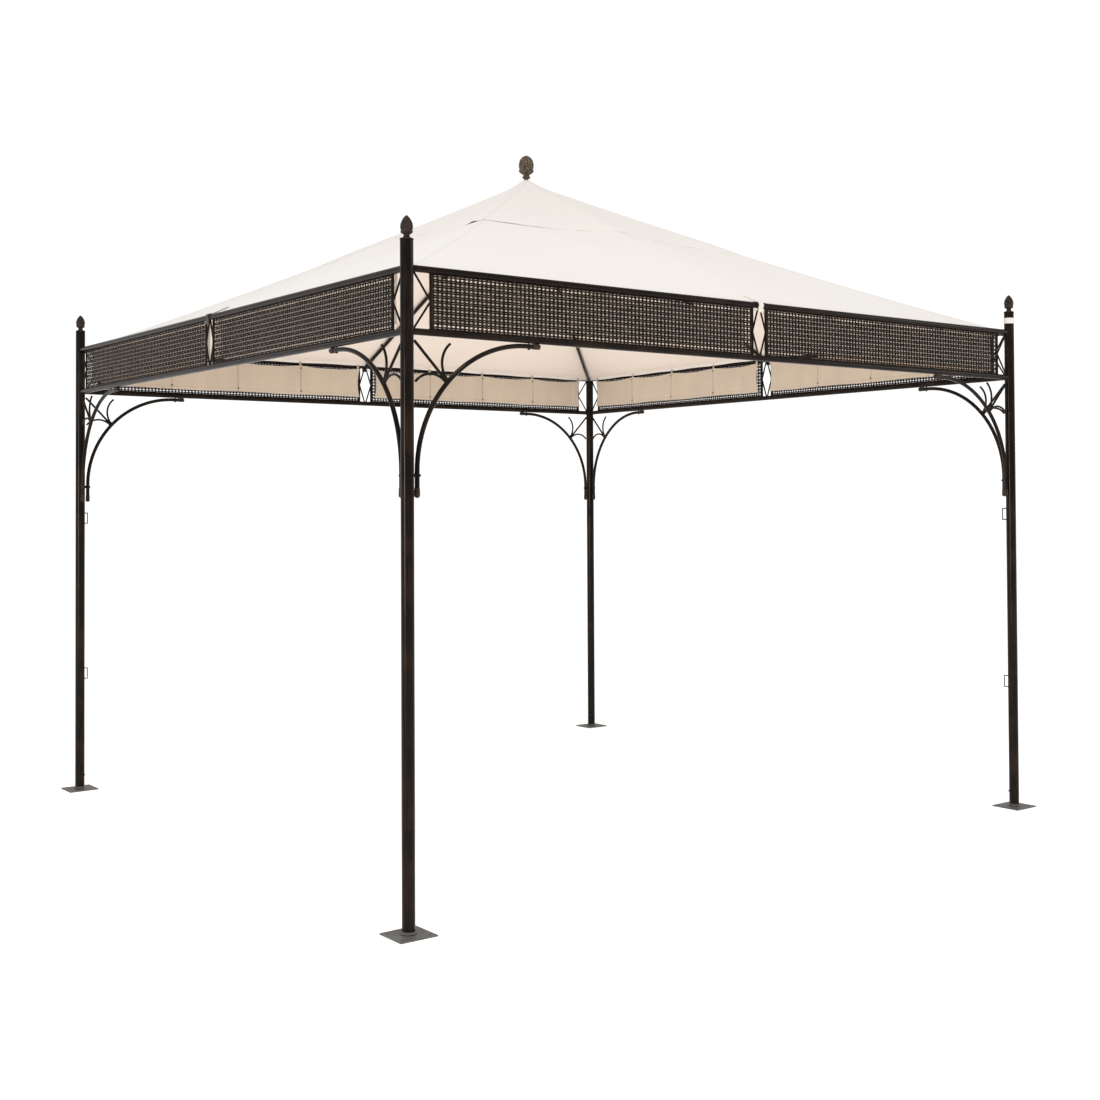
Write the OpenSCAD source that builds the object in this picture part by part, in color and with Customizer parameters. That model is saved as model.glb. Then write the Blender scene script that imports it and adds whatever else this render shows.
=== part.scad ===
// Free-standing square garden pavilion. Four round posts on bolted base plates carry woven friezes,
// curved corner brackets and eight rafters, with a fabric canopy, a vent cap and inner valances.
// Millimetres, +Z up. The origin is the centre of the footprint, on the ground.
// Sides and corners are counted anticlockwise from the front (-Y), seen from above.

/* [Plan and heights] */
// Distance between the post axes along each side
post_spacing = 3450; // [2800:10:4200]
// Height of the lower rail's axis
lower_rail_z = 2130; // [1900:5:2400]
// Distance between the axes of the lower and upper rails
frieze_h = 225; // [190:1:300]
// Height of the canopy's apex over the upper rail's axis
roof_rise = 850; // [600:5:1100]
// Height of the post's top end over the upper rail's axis
post_over_rail = 97; // [60:1:160]

/* [Posts and feet] */
// Outer diameter of a post
post_d = 48; // [42:1:60]
// Wall of a post
post_wall = 2; // [1.5:0.5:3]
// Side of a square base plate
plate_side = 150; // [120:1:200]
// Thickness of a base plate
plate_t = 5; // [4:1:8]
// Distance between the anchor holes of a base plate
anchor_pitch = 110; // [90:1:120]
// Diameter of an anchor hole
anchor_hole_d = 10; // [8:0.5:14]
// Bare spigot between the base plate and the end of the post
foot_gap = 12; // [8:1:80]
// Length of a spigot inside the post
foot_spigot_in = 120; // [80:1:200]

/* [Finials] */
// Width of a corner finial's acorn
finial_d = 44; // [36:1:56]
// Height of a corner finial over its collar
finial_h = 79; // [60:1:110]
// Width of the crown finial's acorn
crown_d = 74; // [60:1:90]
// Height of the crown finial over the canopy's apex
crown_h = 119; // [90:1:150]

/* [Friezes] */
// Outer diameter of a rail
rail_d = 25; // [22:1:32]
// Wall of a rail
rail_wall = 1.5; // [1:0.5:2]
// Diameter of the bar at each end of a woven panel
end_bar_d = 10; // [8:1:14]
// Distance from the post's axis to the first end bar
corner_bay = 98; // [80:1:140]
// Distance from the middle of the side to the last end bar
middle_bay = 39; // [37:1:60]
// Diameter of the diamond's rods
diamond_rod_d = 8; // [6:1:10]
// Thickness of a woven panel
woven_t = 6; // [4:1:10]

/* [Corner brackets] */
// Diameter of the curved tube
bracket_d = 18; // [14:1:20]
// Wall of the curved tube
bracket_wall = 1.5; // [1:0.5:2]
// Bend radius of the curved tube, at its axis
bracket_bend = 477; // [350:1:600]
// Distance from the post's axis to the tube's upright stretch
bracket_offset = 40; // [38:1:50]
// Straight stretch below the bend
bracket_tail = 82; // [60:1:120]
// Straight stretch beyond the bend, under the rail
bracket_toe = 52; // [40:1:100]
// Diameter of the diagonal rod
brace_rod_d = 11; // [8:1:14]
// Diameter of the two scroll rods
scroll_rod_d = 10; // [8:1:12]

/* [Roof frame] */
// Outer diameter of a rafter
rafter_d = 20; // [18:1:25]
// Wall of a rafter
rafter_wall = 1.5; // [1:0.5:2]
// Sag of a hip rafter below the straight line
hip_sag = 24; // [10:1:60]
// Radius of the roof hub
hub_r = 34; // [32:1:45]

/* [Fabric] */
// Thickness of the canopy solid
fabric_t = 5; // [3:0.5:8]
// Half width of the vent opening in the canopy
vent_half = 400; // [250:5:600]
// Half width of the cap over the vent
cap_half = 776; // [700:2:900]
// Height of the raised tip round the crown
tip_rise = 18; // [5:1:40]
// Distance from the valance's lower edge to the lower rail's axis
valance_clear = 37; // [25:1:60]
// Distance from the post's axis to the end of a valance
valance_corner = 104; // [90:1:160]
// Distance from the middle of the side to the end of a valance
valance_middle = 50; // [36:1:90]

/* [Fittings] */
// Height of the upper curtain loop
upper_loop_z = 1450; // [1200:10:1600]
// Height of the lower curtain loop
lower_loop_z = 620; // [400:10:900]
// Height of the strap round the front right post, over the upper rail's axis
strap_over_rail = 57; // [40:1:70]

/* [Hidden] */
CORNERS = ["front_left", "front_right", "back_right", "back_left"];
SIDES = ["front", "right", "back", "left"];
HALVES = ["left", "right"];

bronze = [0.13, 0.11, 0.10];
cane = [0.24, 0.17, 0.13];
ecru = [0.94, 0.91, 0.86];
beige = [0.85, 0.78, 0.70];
zinc = [0.30, 0.28, 0.26];

$fn = 48;
// Play between a tube and the spigot inside it, and between a piece and what it is seated on
slide_gap = 0.3;
// Play of a bolt in its hole, on the diameter
bolt_play = 0.6;
bolt_d = 6;
screw_d = 5;
// Depth of every spigot inside its rail or rafter
spigot_in = 50;

half = post_spacing / 2;
post_r = post_d / 2;
post_bore_d = post_d - 2 * post_wall;
post_foot_z = plate_t + foot_gap;
upper_rail_z = lower_rail_z + frieze_h;
post_top_z = upper_rail_z + post_over_rail;
collar_h = 8;
rail_r = rail_d / 2;
rail_bore_d = rail_d - 2 * rail_wall;
rail_spigot_d = rail_bore_d - 2 * slide_gap;

bracket_r = bracket_d / 2;
bracket_end_r = bracket_r + 1.5;
bracket_top_z = lower_rail_z - rail_r - bracket_end_r - slide_gap;
bend_x = bracket_offset + bracket_bend;
bend_z = bracket_top_z - bracket_bend;
post_bolt_z = bend_z - 12;
rail_bolt_x = bend_x + 10;

rafter_r = rafter_d / 2;
rafter_bore_d = rafter_d - 2 * rafter_wall;
rafter_spigot_d = rafter_bore_d - 2 * slide_gap;
// Outer diameter of the sockets at a hip rafter's ends
rafter_socket_d = rafter_d + 1;
rafter_screw_in = 24;
crown_stem_r = 8;
saddle_d = rail_d + 4;
saddle_w = 60;

// The fabric lies on the rafters. A round tube under a folded ridge needs more room than its radius.
ridge_room = 1.06;
cap_gap = 3;
roof_angle = 18.5;
fabric_seat = (rafter_r * ridge_room + slide_gap * 2) / cos(roof_angle);
apex_z = upper_rail_z + roof_rise;
rafter_apex_z = apex_z - tip_rise - fabric_seat - 2 * fabric_t - cap_gap;
tip_reach = 70;
edge_half = half - rail_r - 6.5;

// A hip rafter is an arc in the upright plane of its diagonal, bent up from a centre above the roof
hip_run = half * sqrt(2);
hip_foot_z = upper_rail_z - fabric_seat - fabric_t;
hip_chord = norm([hip_run, rafter_apex_z - hip_foot_z]);
hip_bend = hip_chord * hip_chord / (8 * hip_sag) + hip_sag / 2;
hip_pitch = atan((rafter_apex_z - hip_foot_z) / hip_run);
hip_centre = [
    hip_run / 2 + (hip_bend - hip_sag) * sin(hip_pitch),
    (rafter_apex_z + hip_foot_z) / 2 + (hip_bend - hip_sag) * cos(hip_pitch)
];
rafter_start = hub_r + 5;
hip_end = hip_run - post_r - 5;

// A side rafter is straight, from the hub to the saddle in the middle of its rail
side_foot_z = upper_rail_z - 5;
side_pitch = atan((rafter_apex_z - side_foot_z) / half);
side_end = half - saddle_d / 2 - 6;

function hip_axis_z(run) = hip_centre.y - sqrt(pow(hip_bend, 2) - pow(run - hip_centre.x, 2));
function hip_lean(run) = asin((run - hip_centre.x) / hip_bend);
function side_axis_z(run) = rafter_apex_z - run * tan(side_pitch);

// ---------------------------------------------------------------- places

// At corner i, with the middle of the plan towards +X +Y
module at_corner(i) {
    rotate([0, 0, 90 * i]) translate([-half, -half, 0]) children();
}

// In the middle of side i, with +X along the side and +Y inwards
module at_side(i) {
    rotate([0, 0, 90 * i]) translate([0, -half, 0]) children();
}

// On half h of side i: the post's axis is the origin and +X runs to the middle of the side
module at_half(i, h) {
    at_side(i) mirror([h, 0, 0]) translate([-half, 0, 0]) children();
}

// On the axis of hip rafter i, with +X down along it and +Z square to it
module on_hip(i, run) {
    rotate([0, 0, 225 + 90 * i])
        translate([run, 0, hip_axis_z(run)])
            rotate([0, -hip_lean(run), 0]) children();
}

// On the axis of side rafter i, with +X down along it and +Z square to it
module on_side_rafter(i, run) {
    rotate([0, 0, 270 + 90 * i])
        translate([run, 0, side_axis_z(run)])
            rotate([0, side_pitch, 0]) children();
}

// ---------------------------------------------------------------- shapes

// Round bar along +X
module bar_x(d, length) {
    rotate([0, 90, 0]) cylinder(d = d, h = length);
}

// Round tube along +X
module tube_x(d, bore, length) {
    rotate([0, 90, 0]) linear_extrude(length) difference() {
        circle(d = d);
        circle(d = bore);
    }
}

// Straight round bar between two points of the XZ plane
module rod(a, b, d) {
    run = b - a;
    translate([a.x, 0, a.y])
        rotate([0, 90 - atan2(run.y, run.x), 0]) cylinder(d = d, h = norm(run));
}

// Round bar in the XZ plane, bent from a to b and bulging to the left of that way by rise
module bent_rod(a, b, rise, d) {
    run = b - a;
    chord = norm(run);
    bend = chord * chord / (8 * rise) + rise / 2;
    left = [-run.y, run.x] / chord;
    centre = (a + b) / 2 + left * (rise - bend);
    sweep = 2 * asin(chord / 2 / bend);
    rotate([90, 0, 0])
        translate([centre.x, centre.y, 0])
            rotate([0, 0, atan2(left.y, left.x) - sweep / 2])
                rotate_extrude(angle = sweep, $fn = 180) translate([bend, 0]) circle(d = d, $fn = 32);
}

// Domed bolt along +Z, its head's seat at the origin and its shank below
module dome_bolt(d, length) {
    translate([0, 0, -length]) cylinder(d = d, h = length + 0.5);
    intersection() {
        sphere(r = d);
        cylinder(r = 2 * d, h = 0.65 * d);
    }
}

// Acorn on a turned neck, standing on z = 0
module acorn(d, h) {
    neck_h = 0.20 * h;
    cup_h = 0.22 * h;
    body_h = h - neck_h - cup_h;
    rotate_extrude() polygon([
        [0, 0], [0.31 * d, 0], [0.31 * d, 0.04 * h], [0.24 * d, 0.10 * h],
        [0.30 * d, neck_h], [0.45 * d, neck_h + 0.04 * h], [0.50 * d, neck_h + 0.10 * h],
        [0.47 * d, neck_h + cup_h - 0.03 * h], [0.44 * d, neck_h + cup_h],
        for (t = [0.04:0.12:1]) [d / 2 * pow(cos(90 * t), 0.75), neck_h + cup_h + body_h * t],
        [0, h]
    ]);
}

// Hip, side middle and hip of the front quarter at half width e, the given height over the rafters' axes
function roof_line(e, lift) =
    let (
        tip = tip_rise * max(0, 1 - e / tip_reach),
        hip = hip_axis_z(e * sqrt(2)) + lift + tip,
        middle = side_axis_z(e) + lift + tip
    )
    [[-e, -e, hip], [0, -e, middle], [e, -e, hip]];

// Quarter i of a shell that follows the roof between two half widths, cut along the hips
module roof_quarter(i, widths, lift) {
    last = len(widths) - 1;
    under = 3 * len(widths);
    points = [
        for (e = widths) each roof_line(e, lift + fabric_t),
        for (e = widths) each roof_line(e, lift)
    ];
    faces = [
        for (j = [0:last - 1]) for (k = [0, 1])
            let (a = 3 * j + k, b = a + 1, c = b + 3, d = a + 3)
            each [
                [a, b, c], [a, c, d],
                [under + a, under + d, under + c], [under + a, under + c, under + b]
            ],
        for (k = [0, 1])
            let (d = 3 * last + k)
            each [
                [k + 1, k, under + k], [k + 1, under + k, under + k + 1],
                [d, d + 1, under + d + 1], [d, under + d + 1, under + d]
            ],
        for (j = [0:last - 1])
            let (a = 3 * j, d = a + 3)
            each [
                [a, d, under + d], [a, under + d, under + a],
                [d + 2, a + 2, under + a + 2], [d + 2, under + a + 2, under + d + 2]
            ]
    ];
    rotate([0, 0, 90 * i]) polyhedron(points, faces);
}

// ---------------------------------------------------------------- posts

module foot(i) {
    color(bronze) at_corner(i) difference() {
        union() {
            translate([-plate_side / 2, -plate_side / 2, 0]) cube([plate_side, plate_side, plate_t]);
            cylinder(d = post_bore_d - 2 * slide_gap, h = post_foot_z + foot_spigot_in);
            translate([0, 0, plate_t]) cylinder(d1 = post_d + 6, d2 = post_bore_d, h = 7);
        }
        translate([0, 0, plate_t]) cylinder(d = post_bore_d - 5, h = post_foot_z + foot_spigot_in);
        for (x = [-1, 1]) for (y = [-1, 1])
            translate([x * anchor_pitch / 2, y * anchor_pitch / 2, -1])
                cylinder(d = anchor_hole_d, h = plate_t + 2);
        foot_screw_place() translate([0, 0, -post_r]) cylinder(d = screw_d + bolt_play, h = 2 * post_r);
    }
}

// Seat of the screw that holds the post on its foot, on the inner side
module foot_screw_place() {
    rotate([0, 0, 45]) translate([post_r, 0, post_foot_z + foot_spigot_in / 2])
        rotate([0, 90, 0]) children();
}

module post(i) {
    color(bronze) difference() {
        union() {
            at_corner(i) translate([0, 0, post_foot_z]) cylinder(d = post_d, h = post_top_z - post_foot_z);
            at_corner(i) for (z = [lower_rail_z, upper_rail_z]) translate([0, 0, z]) {
                bar_x(rail_spigot_d, post_r + spigot_in);
                rotate([0, 0, 90]) bar_x(rail_spigot_d, post_r + spigot_in);
            }
            on_hip(i, hip_run) rotate([0, 0, 180]) bar_x(rafter_spigot_d, post_r + spigot_in);
        }
        at_corner(i) {
            translate([0, 0, post_foot_z - 1]) cylinder(d = post_bore_d, h = post_top_z);
            for (turn = [0, 90]) rotate([0, 0, turn]) translate([0, 0, post_bolt_z])
                bar_x(bolt_d + bolt_play, post_d);
            foot_screw_place() translate([0, 0, -post_r]) cylinder(d = screw_d + bolt_play, h = post_d);
        }
        on_hip(i, hip_end) rafter_screw_hole(-1);
    }
}

module finial(i) {
    color(bronze) at_corner(i) translate([0, 0, post_top_z]) {
        translate([0, 0, -30]) cylinder(d = post_bore_d - 2 * slide_gap, h = 30.5);
        translate([0, 0, slide_gap]) cylinder(d = post_d + 3, h = collar_h - 2 - slide_gap);
        translate([0, 0, collar_h - 2]) cylinder(d1 = post_d + 3, d2 = post_d - 6, h = 2);
        translate([0, 0, collar_h]) acorn(finial_d, finial_h);
    }
}

module curtain_loops() {
    wire = 5;
    out = 22;
    tall = 55;
    color(bronze) for (i = [0:3]) at_corner(i) rotate([0, 0, 45]) for (z = [lower_loop_z, upper_loop_z])
        translate([post_r + slide_gap, 0, z]) {
            rod([0, -tall / 2], [out - wire, -tall / 2], wire);
            rod([0, tall / 2], [out - wire, tall / 2], wire);
            rod([out - wire, -tall / 2], [out - wire, tall / 2], wire);
            for (end = [-1, 1]) translate([out - wire, 0, end * tall / 2]) sphere(d = wire);
        }
}

// ---------------------------------------------------------------- friezes

module frieze_frame(i, h) {
    reach = half - slide_gap;
    middle_z = (lower_rail_z + upper_rail_z) / 2;
    low = lower_rail_z + rail_r - 1;
    high = upper_rail_z - rail_r + 1;
    last_bay = half - middle_bay;
    color(bronze) at_half(i, h) difference() {
        union() {
            for (z = [lower_rail_z, upper_rail_z]) translate([0, 0, z]) bar_x(rail_d, reach);
            for (x = [corner_bay, last_bay])
                translate([x, 0, lower_rail_z]) cylinder(d = end_bar_d, h = frieze_h);
            rod([post_r + 4, low], [corner_bay, middle_z], diamond_rod_d);
            rod([post_r + 4, high], [corner_bay, middle_z], diamond_rod_d);
            rod([reach - 5, low], [last_bay, middle_z], diamond_rod_d);
            rod([reach - 5, high], [last_bay, middle_z], diamond_rod_d);
        }
        for (z = [lower_rail_z, upper_rail_z]) translate([-1, 0, z]) bar_x(rail_bore_d, reach + 2);
        translate([0, 0, lower_rail_z - frieze_h]) cylinder(r = post_r + slide_gap, h = 3 * frieze_h);
        translate([rail_bolt_x, 0, lower_rail_z - rail_d]) cylinder(d = bolt_d + bolt_play, h = rail_d);
    }
}

module woven_panel(i, h) {
    start = corner_bay + end_bar_d / 2 + slide_gap;
    finish = half - middle_bay - end_bar_d / 2 - slide_gap;
    bottom = lower_rail_z + rail_r + slide_gap;
    color(cane) at_half(i, h) translate([start, -woven_t / 2, bottom])
        cube([finish - start, woven_t, frieze_h - rail_d - 2 * slide_gap]);
}

// Sleeves inside the rails, across the joint in the middle of each side
module rail_sleeves() {
    sleeve = 2 * spigot_in;
    color(zinc) for (i = [0:3]) at_side(i) for (z = [lower_rail_z, upper_rail_z])
        translate([-sleeve / 2, 0, z]) bar_x(rail_spigot_d, sleeve);
}

// Saddles over the upper rails' joints, open below, each with a spigot for its side rafter
module rail_saddles() {
    open_below = 9;
    color(bronze) for (i = [0:3]) difference() {
        union() {
            at_side(i) translate([-saddle_w / 2, 0, upper_rail_z]) bar_x(saddle_d, saddle_w);
            on_side_rafter(i, half) rotate([0, 0, 180]) bar_x(rafter_spigot_d, saddle_d / 2 + spigot_in);
        }
        at_side(i) translate([-saddle_w, 0, upper_rail_z]) bar_x(rail_d + 2 * slide_gap, 2 * saddle_w);
        at_side(i) translate([-saddle_w, -saddle_d / 2 - 1, upper_rail_z - open_below - saddle_d])
            cube([2 * saddle_w, saddle_d + 2, saddle_d]);
        on_side_rafter(i, side_end) rafter_screw_hole(-1);
    }
}

// ---------------------------------------------------------------- brackets

// The bent tube's path, from its tail by the post to its toe under the rail
module bracket_path(d, trim) {
    translate([bracket_offset, 0, bend_z - bracket_tail + trim]) cylinder(d = d, h = bracket_tail - trim);
    rotate([90, 0, 0]) translate([bend_x, bend_z, 0]) rotate([0, 0, 90])
        rotate_extrude(angle = 90, $fn = 180) translate([bracket_bend, 0]) circle(d = d, $fn = 48);
    translate([bend_x, 0, bracket_top_z]) bar_x(d, bracket_toe - trim);
}

// Ringed cap on a bracket's end, its axis along Z
module end_knob() {
    ring_in = 5;
    ring_out = 2;
    translate([0, 0, -ring_in]) cylinder(r = bracket_end_r, h = ring_in + ring_out);
    translate([0, 0, -ring_out]) cylinder(r1 = bracket_end_r - 1, r2 = 4, h = bracket_end_r + ring_out);
}

module bracket(i, h) {
    crossing = 43;
    meet = [bend_x - bracket_bend * cos(crossing), bend_z + bracket_bend * sin(crossing)];
    brace_top = [post_r + 5.5, bracket_top_z - 8];
    upper_scroll = meet + [12, 140];
    lower_scroll = meet - [134, 3];
    color(bronze) at_half(i, h) difference() {
        union() {
            bracket_path(bracket_d, 0);
            translate([bracket_offset, 0, bend_z - bracket_tail]) rotate([180, 0, 0]) end_knob();
            translate([bend_x + bracket_toe, 0, bracket_top_z]) rotate([0, 90, 0]) end_knob();
            translate([post_r + slide_gap, 0, post_bolt_z])
                bar_x(bolt_d + 8, bracket_offset - post_r - slide_gap);
            rod(brace_top, meet, brace_rod_d);
            bent_rod(upper_scroll, meet + [2, 6], -30, scroll_rod_d);
            bent_rod(lower_scroll, meet + [-6, -2], 30, scroll_rod_d);
        }
        bracket_path(bracket_d - 2 * bracket_wall, 8);
        translate([0, 0, post_bolt_z]) bar_x(bolt_d + bolt_play, 2 * bracket_offset);
        translate([rail_bolt_x, 0, bracket_top_z - bracket_d]) cylinder(d = bolt_d + bolt_play, h = 2 * bracket_d);
    }
}

// Domed bolts that hold each bracket to its post and to its rail
module bracket_bolts() {
    color(zinc) for (i = [0:3]) for (h = [0, 1]) at_half(i, h) {
        translate([bracket_offset + bracket_r + slide_gap, 0, post_bolt_z]) rotate([0, 90, 0])
            dome_bolt(bolt_d, bracket_offset + bracket_r - post_r + 8);
        translate([rail_bolt_x, 0, bracket_top_z - bracket_r - slide_gap]) rotate([180, 0, 0])
            dome_bolt(bolt_d, bracket_d + 8);
    }
}

module foot_screws() {
    color(zinc) for (i = [0:3]) at_corner(i) foot_screw_place()
        translate([0, 0, slide_gap]) dome_bolt(screw_d, 8);
}

// ---------------------------------------------------------------- roof frame

// Hole for the screw below a rafter, inwards (+1) or outwards (-1) of its end
module rafter_screw_hole(way) {
    translate([way * rafter_screw_in, 0, -rafter_d]) cylinder(d = screw_d + bolt_play, h = rafter_d);
}

// Screw from below into the spigot, inwards (+1) or outwards (-1) of a rafter's end
module rafter_screw(way) {
    translate([way * rafter_screw_in, 0, -rafter_socket_d / 2 - slide_gap]) rotate([180, 0, 0])
        dome_bolt(screw_d, 9);
}

// Bent tube with a straight socket at each end
module hip_rafter(i) {
    socket = 60;
    lap = 10;
    inner = rafter_start + socket;
    outer = hip_end - socket;
    turn = hip_lean(inner);
    color(bronze) difference() {
        union() {
            rotate([0, 0, 225 + 90 * i]) rotate([90, 0, 0]) translate([hip_centre.x, hip_centre.y, 0])
                rotate([0, 0, turn - 90])
                    rotate_extrude(angle = hip_lean(outer) - turn, $fn = 1800) translate([hip_bend, 0])
                        difference() {
                            circle(d = rafter_d, $fn = 48);
                            circle(d = rafter_bore_d, $fn = 48);
                        }
            on_hip(i, inner) translate([lap, 0, 0]) rotate([0, 0, 180])
                tube_x(rafter_socket_d, rafter_bore_d + 0.4, lap + socket / cos(turn));
            on_hip(i, outer) translate([-lap, 0, 0])
                tube_x(rafter_socket_d, rafter_bore_d + 0.4, lap + socket / cos(hip_lean(outer)));
        }
        on_hip(i, rafter_start) rafter_screw_hole(1);
        on_hip(i, hip_end) rafter_screw_hole(-1);
    }
}

module side_rafter(i) {
    color(bronze) difference() {
        on_side_rafter(i, rafter_start)
            tube_x(rafter_d, rafter_bore_d, (side_end - rafter_start) / cos(side_pitch));
        on_side_rafter(i, rafter_start) rafter_screw_hole(1);
        on_side_rafter(i, side_end) rafter_screw_hole(-1);
    }
}

module rafter_screws() {
    color(zinc) for (i = [0:3]) {
        on_hip(i, rafter_start) rafter_screw(1);
        on_hip(i, hip_end) rafter_screw(-1);
        on_side_rafter(i, rafter_start) rafter_screw(1);
        on_side_rafter(i, side_end) rafter_screw(-1);
    }
}

module roof_hub() {
    stem_bore_d = 2 * crown_stem_r + 2 * slide_gap;
    inner = hub_r - 10;
    color(bronze) difference() {
        union() {
            translate([0, 0, rafter_apex_z - 60]) cylinder(r = hub_r, h = 64);
            translate([0, 0, rafter_apex_z + 4]) cylinder(r1 = hub_r, r2 = hub_r / 2, h = 12);
            for (i = [0:3]) {
                on_hip(i, inner) bar_x(rafter_spigot_d, rafter_start - inner + spigot_in);
                on_side_rafter(i, inner) bar_x(rafter_spigot_d, rafter_start - inner + spigot_in);
            }
        }
        translate([0, 0, rafter_apex_z - 50]) cylinder(d = stem_bore_d, h = 100);
        for (i = [0:3]) {
            on_hip(i, rafter_start) rafter_screw_hole(1);
            on_side_rafter(i, rafter_start) rafter_screw_hole(1);
        }
    }
}

module crown_finial() {
    color(bronze) {
        translate([0, 0, rafter_apex_z - 45]) cylinder(r = crown_stem_r, h = apex_z - rafter_apex_z + 46);
        translate([0, 0, apex_z]) acorn(crown_d, crown_h);
    }
}

// ---------------------------------------------------------------- fabric

module roof_canopy(i) {
    bands = 10;
    color(ecru)
        roof_quarter(i, [for (j = [0:bands]) vent_half + (edge_half - vent_half) * j / bands], fabric_seat);
}

module vent_cap(i) {
    bands = 6;
    hole = crown_stem_r + 2 * slide_gap;
    color(ecru) roof_quarter(
        i,
        [hole, for (j = [0:bands]) tip_reach + (cap_half - tip_reach) * j / bands],
        fabric_seat + fabric_t + cap_gap
    );
}

// Two flaps inside the frieze, hung from the canopy's edge
module valance(i) {
    bottom = lower_rail_z + valance_clear;
    corner_x = half - valance_corner;
    hip_edge = hip_axis_z(edge_half * sqrt(2)) + fabric_seat - slide_gap * 2;
    middle_edge = side_axis_z(edge_half) + fabric_seat - slide_gap * 2;
    function edge_z(x) = middle_edge + (hip_edge - middle_edge) * x / edge_half;
    color(beige) at_side(i) for (h = [0, 1]) mirror([h, 0, 0])
        translate([0, half - edge_half + fabric_t, 0]) rotate([90, 0, 0]) linear_extrude(fabric_t)
            polygon([
                [-corner_x, bottom], [-valance_middle, bottom],
                [-valance_middle, edge_z(valance_middle)], [-corner_x, edge_z(corner_x)]
            ]);
}

// Straps over the saddles in the middle of each side, and one loop round the front right post
module canopy_ties() {
    strap_w = 26;
    strap_t = 1.5;
    strap_r = saddle_d / 2 + slide_gap * 2;
    color(ecru) {
        for (i = [0:3]) at_side(i) translate([-strap_w / 2, 0, upper_rail_z]) rotate([90, 0, 90])
            rotate([0, 0, 52]) rotate_extrude(angle = 168) translate([strap_r, 0]) square([strap_t, strap_w]);
        at_corner(1) translate([0, 0, upper_rail_z + strap_over_rail - 14]) difference() {
            cylinder(r = post_r + slide_gap + strap_t, h = 28);
            translate([0, 0, -1]) cylinder(r = post_r + slide_gap, h = 30);
        }
    }
}

// ---------------------------------------------------------------- assembly

for (i = [0:3]) {
    foot(i);
    post(i);
    finial(i);
    hip_rafter(i);
    side_rafter(i);
    roof_canopy(i);
    vent_cap(i);
    valance(i);
    for (h = [0, 1]) {
        frieze_frame(i, h);
        woven_panel(i, h);
        bracket(i, h);
    }
}
roof_hub();
crown_finial();
rail_saddles();
rail_sleeves();
bracket_bolts();
foot_screws();
rafter_screws();
curtain_loops();
canopy_ties();
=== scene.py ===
"""Finished look of a square garden pavilion: woven friezes, fabric roof, valances, finials and fittings."""
import logging
import math
from contextlib import contextmanager
from dataclasses import dataclass
from enum import Enum
from typing import Callable, Iterator, Sequence

import bmesh
import bpy
import numpy as np
from mathutils import Matrix, Vector


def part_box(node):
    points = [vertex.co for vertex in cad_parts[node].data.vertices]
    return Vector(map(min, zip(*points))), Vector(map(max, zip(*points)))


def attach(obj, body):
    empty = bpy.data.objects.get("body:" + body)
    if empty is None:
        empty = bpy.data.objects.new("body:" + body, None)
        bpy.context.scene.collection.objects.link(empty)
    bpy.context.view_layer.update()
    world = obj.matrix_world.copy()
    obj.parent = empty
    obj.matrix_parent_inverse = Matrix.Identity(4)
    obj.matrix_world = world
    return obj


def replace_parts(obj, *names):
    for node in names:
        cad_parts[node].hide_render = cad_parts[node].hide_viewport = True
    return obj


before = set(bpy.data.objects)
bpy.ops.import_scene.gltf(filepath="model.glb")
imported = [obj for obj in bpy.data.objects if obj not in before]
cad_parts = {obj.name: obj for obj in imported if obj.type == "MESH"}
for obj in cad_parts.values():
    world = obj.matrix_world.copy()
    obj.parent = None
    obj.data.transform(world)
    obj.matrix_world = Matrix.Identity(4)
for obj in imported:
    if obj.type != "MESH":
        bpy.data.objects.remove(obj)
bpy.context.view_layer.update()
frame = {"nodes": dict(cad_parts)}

Colour = tuple[float, float, float, float]
LOG = logging.getLogger("pavilion")
BODY = "root"
POST_RADIUS = 0.024
FINIAL_SPIGOT = 0.030
CROWN_HEIGHT = 0.119
ROOF_PITCH = math.radians(18.5)
BRONZE_SHEEN = (1.0, 0.80, 0.66, 1.0)
BLACK = (0.0, 0.0, 0.0, 1.0)
WHITE = (1.0, 1.0, 1.0, 1.0)


class Quarter(Enum):
    """One of four places round the plan, numbered by quarter turns from the first."""

    @property
    def word(self) -> str:
        """The name as the frame's nodes spell it."""
        return self.name.lower()

    @property
    def turn(self) -> Matrix:
        """The turn that carries the first place onto this one."""
        return Matrix.Rotation(self.value * math.pi / 2, 4, "Z")


class Side(Quarter):
    """A side of the plan."""

    FRONT = 0
    RIGHT = 1
    BACK = 2
    LEFT = 3

    def half(self, mirror: float) -> Matrix:
        """The turn that carries the front's left half onto one of this side's halves.

        Args:
            mirror: 1 for the left half, -1 for the right one.

        Returns:
            The turn.
        """
        return self.turn @ Matrix.Diagonal((mirror, 1.0, 1.0, 1.0))


class Corner(Quarter):
    """A corner of the plan."""

    FRONT_LEFT = 0
    FRONT_RIGHT = 1
    BACK_RIGHT = 2
    BACK_LEFT = 3


class Slot(Enum):
    """The record's material slots."""

    COAT = "powder_coat"
    CAST = "cast_bronze"
    RATTAN = "rattan"
    CANOPY = "canopy_fabric"
    VALANCE = "valance_fabric"
    ZINC = "zinc"
    FASTENER = "fastener"


# ---------------------------------------------------------------- finishes


def arithmetic(operation: str, swapped: bool = False) -> "Callable[[Wire, Operand], Wire]":
    """Makes one of the operators of Wire.

    Args:
        operation: ADD, SUBTRACT or MULTIPLY.
        swapped: Whether the wire is the second operand.

    Returns:
        The operator's method.
    """

    def method(wire: "Wire", other: "Operand") -> "Wire":
        """Joins a wire to the other operand."""
        return wire.join(operation, *((other, wire) if swapped else (wire, other)))

    return method


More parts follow.
